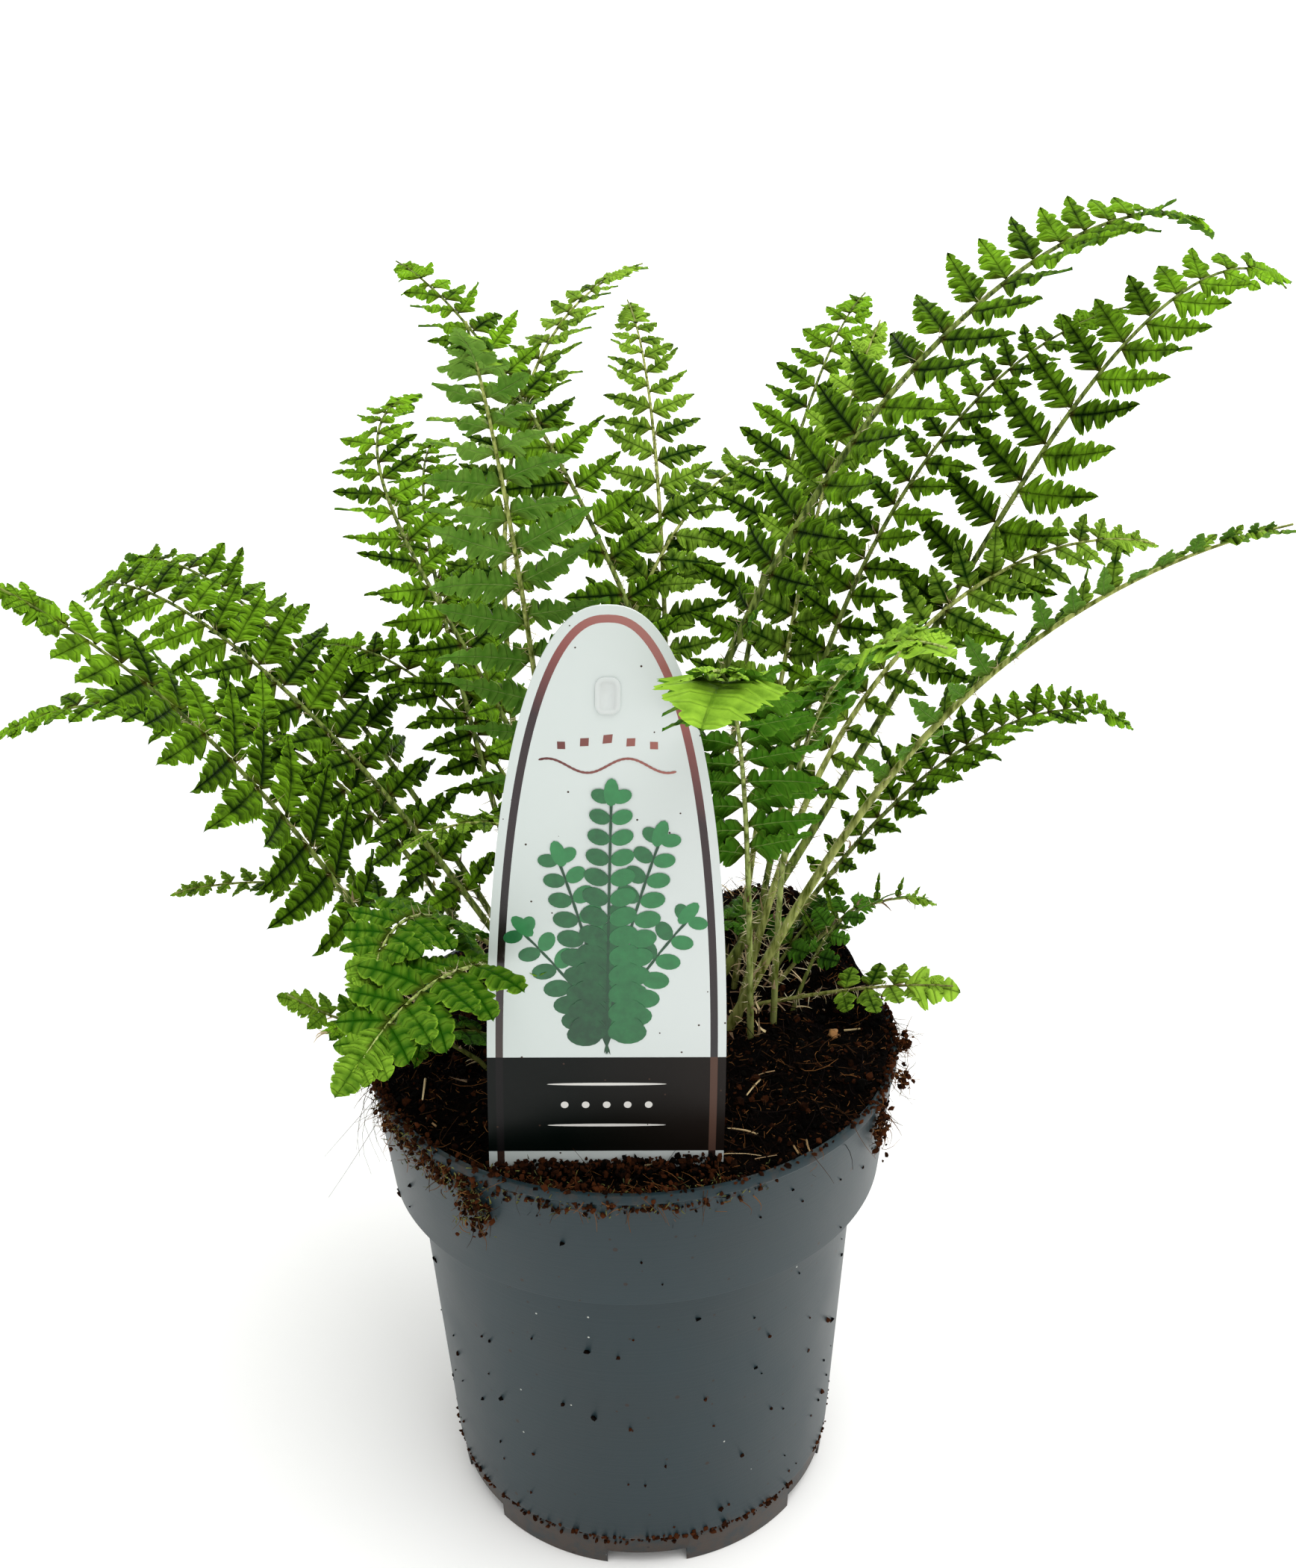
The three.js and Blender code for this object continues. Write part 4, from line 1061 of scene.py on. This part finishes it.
def blade_material(name, dark, light, upper, relief_shading):
    """A fern leaflet's skin: waxy above and matt below, with sunk veins and a paler edge, and its
    relief painted in its colour: shade in the veins, light on the lobes and the edge.
    """
    material, shader = new_material(name, Roughness=0.5 if upper else 0.7, Specular_IOR_Level=0.03)
    place = add_node(shader, "TexCoord").outputs["Object"]
    tone = add_node(shader, "Attribute", {"attribute_name": "tone"}).outputs["Fac"]
    veins = add_node(shader, "UVMap", {"uv_map": "veins"})
    split = add_node(shader, "SeparateXYZ", inputs={"Vector": veins}).outputs
    mottle = add_node(shader, "TexNoise", inputs={
        "Vector": place, "Scale": 1 / (6 * MM), "Detail": 4, "Roughness": 0.6})
    amount = add_node(shader, "Math", {"operation": "MULTIPLY_ADD"}, {0: mottle, 1: 1.4, 2: -0.74})
    age = add_node(shader, "Math", {"operation": "ADD", "use_clamp": True}, {0: amount, 1: tone})
    # How far a point is from the midrib, and from the vein in the middle of its lobe.
    from_rib = add_node(shader, "Math", {"operation": "SUBTRACT"}, {0: split["Y"], 1: 0.5})
    from_rib = add_node(shader, "Math", {"operation": "ABSOLUTE"}, {0: from_rib})
    phase = add_node(shader, "Math", {"operation": "FRACT"}, {0: split["X"]})
    from_vein = add_node(shader, "Math", {"operation": "SUBTRACT"}, {0: phase, 1: 0.5})
    from_vein = add_node(shader, "Math", {"operation": "ABSOLUTE"}, {0: from_vein})
    rib = add_node(shader, "MapRange", {"interpolation_type": "SMOOTHSTEP"}, {
        "Value": from_rib, "From Min": 0.035, "From Max": 0.0})
    vein = add_node(shader, "MapRange", {"interpolation_type": "SMOOTHSTEP"}, {
        "Value": from_vein, "From Min": 0.08, "From Max": 0.0})
    lines = add_node(shader, "Math", {"operation": "MAXIMUM"}, {0: rib, 1: vein})
    # A lobe is painted lighter where it swells between its veins and darker towards them: painted
    # highlight and painted shade of its relief.
    swell = add_node(shader, "Math", {"operation": "PINGPONG"}, {0: phase, 1: 0.5})
    inward = add_node(shader, "MapRange", {"interpolation_type": "SMOOTHSTEP"}, {
        "Value": from_rib, "From Min": 0.0, "From Max": 0.15})
    crown = add_node(shader, "Math", {"operation": "MULTIPLY"}, {0: swell, 1: inward})
    tone_and_crown_light = add_node(shader, "Math", {"operation": "MULTIPLY_ADD"}, {
        0: crown, 1: 0.4 + 0.9 * relief_shading, 2: age})
    green = add_node(shader, "Mix", {"data_type": "RGBA"}, {
        SHARE: tone_and_crown_light, FIRST: linear(dark), SECOND: linear(light)})
    # Above, the veins are painted darker, shade in their sunk grooves; below, the midrib is pale, its
    # own colour.
    drawn_lines = add_node(shader, "Math", {"operation": "MULTIPLY"}, {
        0: lines if upper else rib, 1: relief_shading if upper else 0.7})
    vein_shade_and_pale_rib = add_node(shader, "Mix", {"data_type": "RGBA"}, {
        SHARE: drawn_lines, FIRST: green, SECOND: linear(dark if upper else "7F9A4E")})
    # The rim is thinner and lighter: partly its own paleness, partly a painted highlight along the
    # lobes' edges. The foot of the leaflet is tinged brown.
    pale_rim_and_highlight = add_node(shader, "MapRange", inputs={
        "Value": from_rib, "From Min": 0.42, "From Max": 0.5, "To Max": 0.55})
    rim_paled_and_lit = add_node(shader, "Mix", {"data_type": "RGBA"}, {
        SHARE: pale_rim_and_highlight, FIRST: vein_shade_and_pale_rib, SECOND: linear(light)})
    foot = add_node(shader, "MapRange", inputs={
        "Value": split["X"], "From Min": 0.5, "From Max": 0.0, "To Max": 0.55})
    browned = add_node(shader, "Mix", {"data_type": "RGBA"}, {
        SHARE: foot, FIRST: rim_paled_and_lit, SECOND: linear("3E2A10")})
    hollow = add_node(shader, "Bump", {"invert": upper}, {
        "Strength": 0.8, "Distance": 0.4 * MM, "Height": lines})
    skin = add_node(shader, "TexNoise", inputs={
        "Vector": place, "Scale": 1 / (0.8 * MM), "Detail": 3})
    relief = add_node(shader, "Bump", inputs={
        "Strength": 0.5, "Distance": 0.25 * MM, "Height": skin, "Normal": hollow})
    feed(shader, {"Base Color": browned, "Normal": relief})
    return material


def stem_material(name, dark, light):
    """A fern's stem: round, smooth and faintly ridged, green above and brown at its foot."""
    material, shader = new_material(name, Roughness=0.55, Specular_IOR_Level=0.12)
    place = add_node(shader, "TexCoord").outputs["Object"]
    height = add_node(shader, "SeparateXYZ", inputs={"Vector": place}).outputs["Z"]
    low = add_node(shader, "MapRange", inputs={
        "Value": height, "From Min": STEM_BROWN[0] * MM, "From Max": STEM_BROWN[1] * MM})
    # Streaks run up the stem, about six times as long as they are wide.
    upright = add_node(shader, "Mapping", inputs={"Vector": place, "Scale": (1, 1, 0.16)})
    streaks = add_node(shader, "TexNoise", inputs={
        "Vector": upright, "Scale": 1 / (1.4 * MM), "Detail": 4})
    streaky = add_node(shader, "MapRange", inputs={
        "Value": streaks, "From Min": 0.36, "From Max": 0.62})
    green = add_node(shader, "Mix", {"data_type": "RGBA"}, {
        SHARE: streaky, FIRST: linear(dark), SECOND: linear(light)})
    brown = add_node(shader, "Math", {"operation": "MULTIPLY"}, {0: low, 1: streaks})
    mixed = add_node(shader, "Mix", {"data_type": "RGBA"}, {
        SHARE: brown, FIRST: green, SECOND: linear("3E2C14")})
    relief = add_node(shader, "Bump", inputs={
        "Strength": 0.3, "Distance": 0.15 * MM, "Height": streaks})
    feed(shader, {"Base Color": mixed, "Normal": relief})
    return material


frond_skins = {}
for age, (dark, light, below_dark, below_light, stem_dark, stem_light) in AGES.items():
    relief_shading = YOUNG_RELIEF_SHADING if age == "young" else RELIEF_SHADING
    frond_skins[age] = [
        blade_material(f"{age}_blade_above", dark, light, True, relief_shading),
        blade_material(f"{age}_blade_below", below_dark, below_light, False, RELIEF_SHADING),
        stem_material(f"{age}_stem", stem_dark, stem_light),
    ]


def frames(frond, distances):
    """Place, direction, right side and upper side of a frond's stem at distances in millimetres."""
    distances = np.asarray(distances, float)
    samples = np.linspace(-BURIED, frond.length, LINE_SAMPLES)
    middles = (samples[:-1] + samples[1:]) / 2

    def bearing(distance):
        share = np.maximum(distance, 0) / frond.length
        slope = frond.rise - frond.droop * share ** frond.bend
        foot = np.clip(-distance / 10, 0, 1)
        slope = slope + (90 - slope) * foot
        turn = np.radians(frond.heading + frond.sway * share)
        slope = np.radians(slope)
        level = np.cos(slope)
        ahead = np.stack([level * np.cos(turn), level * np.sin(turn), np.sin(slope)], -1)
        return ahead, turn

    ahead, _ = bearing(middles)
    walked = np.concatenate([[[0, 0, 0]], np.cumsum(ahead * np.diff(samples)[:, None], 0)])
    start = [np.interp(0, samples, walked[:, k]) for k in range(3)]
    walked += np.array([frond.x, frond.y, CROWN_HEIGHT]) - np.array(start)
    position = np.stack([np.interp(distances, samples, walked[:, k]) for k in range(3)], -1)
    tangent, turn = bearing(distances)
    level_side = np.stack([np.sin(turn), -np.cos(turn), 0 * turn], -1)
    roll = math.radians(frond.roll)
    side = level_side * math.cos(roll) + np.cross(tangent, level_side) * math.sin(roll)
    over = np.cross(side, tangent)
    return position, tangent, side, over


def frame_at(frond, distance):
    """Place, direction, right side and upper side of a stem at one distance in millimetres."""
    return [row[0] for row in frames(frond, [distance])]


def stem_width(frond, distance):
    """Thickness of a stem in millimetres, thicker to its foot."""
    thick = (1.3 + frond.length / 220) * STOUTER.get(frond.name, 1)
    return thick + (STEM_TIP_WIDTH - thick) * np.maximum(distance, 0) / frond.length


def add_stem(shape, frond):
    """Adds the stem to a bmesh: a sheet bent round into a tube along the frond's line."""
    count = int((frond.length + BURIED) / STEM_STEP)
    grid = bmesh.ops.create_grid(shape, x_segments=count, y_segments=STEM_SIDES, size=1)["verts"]
    flat = np.array([vert.co for vert in grid])
    distances = -BURIED + (flat[:, 0] + 1) / 2 * (frond.length + BURIED)
    position, _, side, over = frames(frond, distances)
    angle = flat[:, 1] * math.pi
    radius = stem_width(frond, distances) / 2
    out = side * np.cos(angle)[:, None] + over * np.sin(angle)[:, None]
    points = (position + out * radius[:, None]) * MM
    for vert, point in zip(grid, points.tolist()):
        vert.co = point
    faces = list({face for vert in grid for face in vert.link_faces})
    bmesh.ops.remove_doubles(shape, verts=grid, dist=1e-7)
    faces = [face for face in faces if face.is_valid]
    loops = [edge for face in faces for edge in face.edges if len(edge.link_faces) == 1]
    faces += bmesh.ops.holes_fill(shape, edges=list(set(loops)))["faces"]
    bmesh.ops.recalc_face_normals(shape, faces=faces)
    for face in faces:
        face.material_index = 2


# A leaflet's line: its foot, its three directions, its length and half width, the row it stands in,
# and how it twists and bows.
Line = namedtuple("Line", "foot along across normal length half sign twist bow")


def leaflet_line(frond, distance, spacing, sign, share, fold, twist, bow):
    """The line of a leaflet at a distance along the stem, with a share of its length and a fold."""
    u = (distance / frond.length - frond.bare) / (1 - frond.bare)
    u = min(max(u, 0), 0.999)
    reach = min(1, 0.65 + 1.8 * u) * (1 - u ** 2.6) ** 0.8
    length = frond.leaflet * LENGTHS.get(frond.name, 1) * reach * share
    length = max(length, SHORTEST_LEAFLET)
    half = min((0.29 + 0.12 * smoothstep(u, 0.5, 0.95)) * length, 0.72 * spacing)
    if frond.age == "young":
        half = min(0.42 * length, 0.78 * spacing)
    if frond.name in JUVENILE:
        half = 0.48 * length
    half *= WIDTHS.get(frond.name, 1)
    position, tangent, side, over = frame_at(frond, distance)
    angle = math.radians(6 + 30 * u)
    tilt = math.radians(frond.lift + fold)
    lateral = side * sign * math.cos(tilt) + over * math.sin(tilt)
    normal = over * math.cos(tilt) - side * sign * math.sin(tilt)
    along = lateral * math.cos(angle) + tangent * math.sin(angle)
    across = (tangent * math.cos(angle) - lateral * math.sin(angle)) * sign
    foot = position + side * sign * 0.35 * stem_width(frond, distance)
    return Line(foot, along, across, normal, length, half, sign, twist, bow)


def curl(line, v, out, lift):
    """Points of a bent leaflet: v along it, out across it and lift over it, both in millimetres."""
    turn = line.twist * v ** 1.6
    wide = out * np.cos(turn) - lift * np.sin(turn)
    high = out * np.sin(turn) + lift * np.cos(turn)
    sweep = 0.06 * line.length * v * v * line.sign
    droop = line.bow * line.length * v * v
    return (line.foot + np.outer(line.length * v, line.along) + np.outer(wide + sweep, line.across)
            + np.outer(high + droop, line.normal)) * MM


def leaflet_form(v, w, half, lobes, cut, ragged, rounded, tail):
    """Half width share, forward slant and relief of a lobed leaflet, from its own coordinates."""
    phase = v * lobes % 1.0
    lobe = np.interp(phase, np.linspace(0, 1, len(LOBE_OUTLINE)), LOBE_OUTLINE)
    place = np.minimum((v * lobes).astype(int), lobes - 1)
    lobe = lobe * np.where(w > 0, ragged[0][place], ragged[1][place])
    depth = cut * (1 - 0.45 * v)
    foot = 1 - np.minimum(v / 0.14, 1)
    # An even taper, a wide foot with a narrow tail, or a round end.
    even = (1 - v ** 1.6) ** 0.8
    tailed = 0.4 * (1 - v) ** 0.6 + 0.6 * (1 - v) ** 2.4
    round_end = (1 - v ** 3) ** 0.5
    taper = rounded * round_end + (1 - rounded) * ((1 - tail) * even + tail * tailed)
    envelope = np.sqrt(1 - foot * foot) * taper
    width = envelope * (1 - depth * (1 - lobe))
    q = np.abs(w)
    slant = 0.5 * q * width * (1 - v)
    groove = 0.55 * np.sin(math.pi * phase) + 0.45 * np.abs(np.sin(math.tau * phase))
    groove = groove * np.sin(math.pi * q)
    ruffle = 0.16 * q * q * envelope * np.sin(math.pi * v * lobes + 40 * ragged[0][0] + w)
    swell = min(half, 7.5)
    relief = swell * (0.22 * groove * envelope - 0.3 * q * q * envelope + 0.16 * q + ruffle)
    return width * w, slant, relief


# A probe is a simple stand-in for a leaflet, a little thicker than it, to find what it would cross.
PROBE_HALF = 0.6
# The part in the stem is left out, or a leaflet would always touch its own stem's neighbours.
PROBE_FROM = 0.08
coarse = bmesh.new()
bmesh.ops.create_grid(coarse, x_segments=5, y_segments=2, size=1)
coarse_v = np.array([(vert.co.x + 1) / 2 for vert in coarse.verts])
coarse_w = np.array([vert.co.y for vert in coarse.verts])
coarse_faces = [[vert.index for vert in face.verts] for face in coarse.faces]
coarse.free()


def probe(line):
    """The points of a leaflet's probe and its tree of faces."""
    width = (1 - coarse_v ** 1.25) ** 0.85 * coarse_w * line.half * 0.9
    v = PROBE_FROM + (1 - PROBE_FROM) * coarse_v
    sheets = [curl(line, v, width, PROBE_HALF * side * np.ones_like(v)) for side in (-1, 1)]
    points = np.concatenate(sheets)
    faces = coarse_faces + [[i + len(coarse_v) for i in face] for face in coarse_faces]
    return points, BVHTree.FromPolygons(points.tolist(), faces)


def meets(points, tree, others):
    """True if a probe crosses any of the others, each with its own box."""
    low, high = points.min(0), points.max(0)
    for other_low, other_high, other in others:
        if np.all(low < other_high) and np.all(high > other_low) and tree.overlap(other):
            return True
    return False


def obstacle(piece):
    """A piece's box and its tree of faces."""
    points = [vert.co[:] for vert in piece.data.vertices]
    faces = [polygon.vertices[:] for polygon in piece.data.polygons]
    spread = np.array(points)
    return spread.min(0), spread.max(0), BVHTree.FromPolygons(points, faces)


def clear_line(frond, distance, spacing, sign, drift, twist, bow, others):
    """The first line of a leaflet that clears the others, with its own box and tree, or nothing."""
    for share in SHARES:
        for fold in FOLDS:
            line = leaflet_line(frond, distance, spacing, sign, share, fold + drift, twist, bow)
            points, tree = probe(line)
            if not meets(points, tree, others):
                return line, (points.min(0), points.max(0), tree)
    return None, None


def add_leaflet(shape, line, lobes, cut, tone, layers, rng, rounded=0, tail=0):
    """Adds one leaflet to a bmesh: two sheets that share their lobed rim, the upper one swollen."""
    veins, tones = layers
    sheets = []
    ragged = np.array([[rng.uniform(0.82, 1.08) for _ in range(lobes)] for _ in range(2)])
    for upper in (True, False):
        grid = bmesh.ops.create_grid(shape, x_segments=lobes * LOBE_COLUMNS, y_segments=LEAF_ROWS,
                                     size=1, calc_uvs=True)["verts"]
        flat = np.array([vert.co for vert in grid])
        v = (flat[:, 0] + 1) / 2
        w = flat[:, 1]
        width, slant, relief = leaflet_form(v, w, line.half, lobes, cut, ragged, rounded, tail)
        thickness = LEAF_THICKNESS * (1 - w * w) * np.minimum(1, (1 - v) * 6)
        lift = relief + thickness * (0.5 if upper else -0.5)
        reach = np.minimum(v + slant * line.half / line.length, 1 + 0 * v)
        points = curl(line, reach, width * line.half, lift)
        for vert, point in zip(grid, points.tolist()):
            vert.co = point
            vert[tones] = tone
        faces = list({face for vert in grid for face in vert.link_faces})
        for face in faces:
            face.material_index = 0 if upper else 1
            for loop in face.loops:
                loop[veins].uv.x *= lobes
        if not upper:
            bmesh.ops.reverse_faces(shape, faces=faces)
        sheets += grid
    bmesh.ops.remove_doubles(shape, verts=sheets, dist=2e-6)


def usual_tip(blade, young, juvenile):
    """The tip of a frond that has none of its own in the table, from the length of its blade."""
    if young:
        return Tip(min(max(0.22 * blade, 8), 24), 0.4, 7, 0.4, 0.5, -0.2)
    return Tip(min(max(0.13 * blade, 8), 22), 0.3, 7, 0.65, 0.5 if juvenile else 0.15, -0.2)


stem_trees = []
for frond in FRONDS + SPROUTS:
    shape = bmesh.new()
    add_stem(shape, frond)
    stem = new_piece("stem_" + frond.name, shape, [])
    stem_trees.append(obstacle(stem))
    bpy.data.objects.remove(stem)
fixed = [obstacle(piece) for piece in (pot, soil, label)]
grown = []
for index, frond in enumerate(FRONDS + SPROUTS):
    rng = random.Random(frond.name)
    shape = bmesh.new()
    veins = shape.loops.layers.uv.new("veins")
    tones = shape.verts.layers.float.new("tone")
    add_stem(shape, frond)
    leafy_from = LEAFY_FROM.get(frond.name, frond.bare)
    blade = frond.length * (1 - leafy_from)
    young = frond.age == "young"
    juvenile = frond.name in JUVENILE
    shade = SHADES.get(frond.name, 0)
    tip = TIPS.get(frond.name) or usual_tip(blade, young, juvenile)
    pitch = YOUNG_PITCH if young else LEAFLET_PITCH
    gap = min(max(pitch * frond.leaflet, LEAFLET_GAPS[0]), LEAFLET_GAPS[1])
    pairs = max(FEWEST_PAIRS, round(blade / gap))
    cut = 0.72 if juvenile else 0.42 if young else 0.7
    others = fixed + stem_trees[:index] + stem_trees[index + 1:] + grown
    own = []
    for i in range(pairs):
        for sign in (1, -1):
            share_along = (i + 0.5 + (LATER if sign < 0 else 0) + rng.uniform(-0.06, 0.06)) / pairs
            share_along = min(share_along, 1 - 0.5 * tip.length / blade)
            distance = frond.length * leafy_from + blade * share_along * (1.3 - 0.3 * share_along)
            spacing = blade / pairs * (1.3 - 0.6 * share_along)
            twist = rng.uniform(-1, 1) * TWISTS.get(frond.name, TWIST)
            drift = rng.uniform(-1, 1) * DRIFTS.get(frond.name, DRIFT)
            bow = rng.uniform(*BOWS)
            if sign > 0 and frond.name in NEAR_BOWS and share_along < NEAR_BOWS_TO:
                bow = rng.uniform(*NEAR_BOWS[frond.name])
            line, box = clear_line(frond, distance, spacing, sign, drift, twist, bow, others)
            if not line:
                continue
            own.append(box)
            lobes = int(np.clip(round(line.length / LOBE_LENGTH), *LOBES))
            tipward = smoothstep(share_along, 0.5, 0.95)
            rounded = ROUNDED.get(frond.name, 0.7 if juvenile else 0.4 * tipward)
            tail = rng.uniform(0.1, 1) * TAILS.get(frond.name, TAIL) * (1 - 0.7 * tipward)
            # Leaflets are darker low on the stem, in the crowded middle of the plant, and lighter to
            # the tip: painted shade; each also differs at random.
            tone = 0.5 * share_along ** 1.5 + rng.uniform(-0.25, 0.22)
            if young:
                tone += 0.5 * smoothstep(share_along, 0.55, 0.9) - 0.1
            add_leaflet(shape, line, JUVENILE_LOBES if juvenile else lobes, cut, tone + shade,
                        (veins, tones), rng, rounded, tail)
    grown += own
    # The tip: the last leaflets are grown together into one lobed point.
    position, tangent, side, over = frame_at(frond, frond.length - tip.length)
    line = Line(position, tangent, side, over, tip.length + 2, tip.half * tip.length, 1, 0.2, tip.bow)
    add_leaflet(shape, line, tip.lobes, tip.cut, 0.55 + shade, (veins, tones), rng, tip.rounded)
    skins = frond_skins["basal" if frond.name == "right_9" else frond.age]
    piece = new_piece("fern_" + frond.name, shape, skins, smooth=70)
    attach(piece, "root")
    if frond.age == "basal":
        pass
    else:
        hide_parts("frond_" + frond.name)


# Hairs and scales: fine tan hairs up each stem, and papery golden-brown scales at the stems' feet and
# round the crown that they grow from.
HAIR_SPACING = 1.1
HAIRY_SHARE = 0.7
HAIRLESS = 12
HAIR_LENGTHS = [1.8, 2.4, 3.2, 4.4]
HAIR_WIDTHS = (0.2, 0.42)
SCALES_PER_STEM = 16
SCALY_LENGTH = 60
SCALE_FLATNESS = 0.12
CROWN_SCALES = 90
CROWN_SPREAD = 5
hair_tan = tone_material("stem_hairs", "8A7244", "E2DAB2", 2 * MM, 0.05 * MM, Roughness=0.7)
scale_brown = tone_material("papery_scales", "4A2A12", "CDB88A", 1.5 * MM, 0.1 * MM, Roughness=0.6)


def on_stem(frond, distance, around, forward):
    """A point on a stem's skin, and the lean and heading of what stands out from it there."""
    position, tangent, side, over = frame_at(frond, distance)
    out = side * math.cos(around) + over * math.sin(around)
    at = (position + out * stem_width(frond, distance) * 0.45) * MM
    ahead = out * math.cos(forward) + tangent * math.sin(forward)
    return at, math.asin(float(np.clip(ahead[2], -1, 1))), math.atan2(ahead[1], ahead[0])


def hair_start(frond, rng):
    """The start of a hair on a stem, above its foot."""
    distance = rng.uniform(HAIRLESS, frond.length * HAIRY_SHARE)
    return on_stem(frond, distance, rng.uniform(*ALL_ROUND), rng.uniform(-0.4, 1.0))


def scale_start(frond, rng):
    """The start of a scale on a stem, most of them near its foot."""
    distance = SCALY_LENGTH * rng.random() ** 1.7
    return on_stem(frond, distance, rng.uniform(*ALL_ROUND), rng.uniform(0.5, 1.3))


def crown_start(rng):
    """The start of a scale on the peat near the foot of one frond."""
    foot = rng.choice(FRONDS)
    x, y = foot.x + rng.gauss(0, CROWN_SPREAD), foot.y + rng.gauss(0, CROWN_SPREAD)
    return Vector((x, y, crumbled(x, y) + rng.uniform(-0.5, 3))) * MM, 0, 0


rng = random.Random(29)
laid_hairs = []
laid_scales = []
for frond in FRONDS:
    hair_count = int(frond.length * HAIRY_SHARE / HAIR_SPACING)
    laid_hairs += lay_strands(hair_count, lambda rng: hair_start(frond, rng), 0, 0, HAIR_LENGTHS,
                              HAIR_WIDTHS, (0, 1.2), (0.1, 1), rng)
    laid_scales += lay_strands(SCALES_PER_STEM, lambda rng: scale_start(frond, rng), 0, 0, (2.5, 6),
                               (0.8, 1.4), (0.2, 1.4), (0, 1), rng, SCALE_FLATNESS)
laid_scales += lay_strands(CROWN_SCALES, crown_start, (0, 1.4), ALL_ROUND, (3, 7), (0.8, 1.5),
                           (0.2, 1.6), [0, 0.1, 0.3, 0.9], rng, SCALE_FLATNESS)
hairs = copies("stem_hairs", strand(3, 2, 0.1), hair_tan, laid_hairs)
scales = copies("crown_scales", strand(4, 3, 0.15), scale_brown, laid_scales, smooth=60)
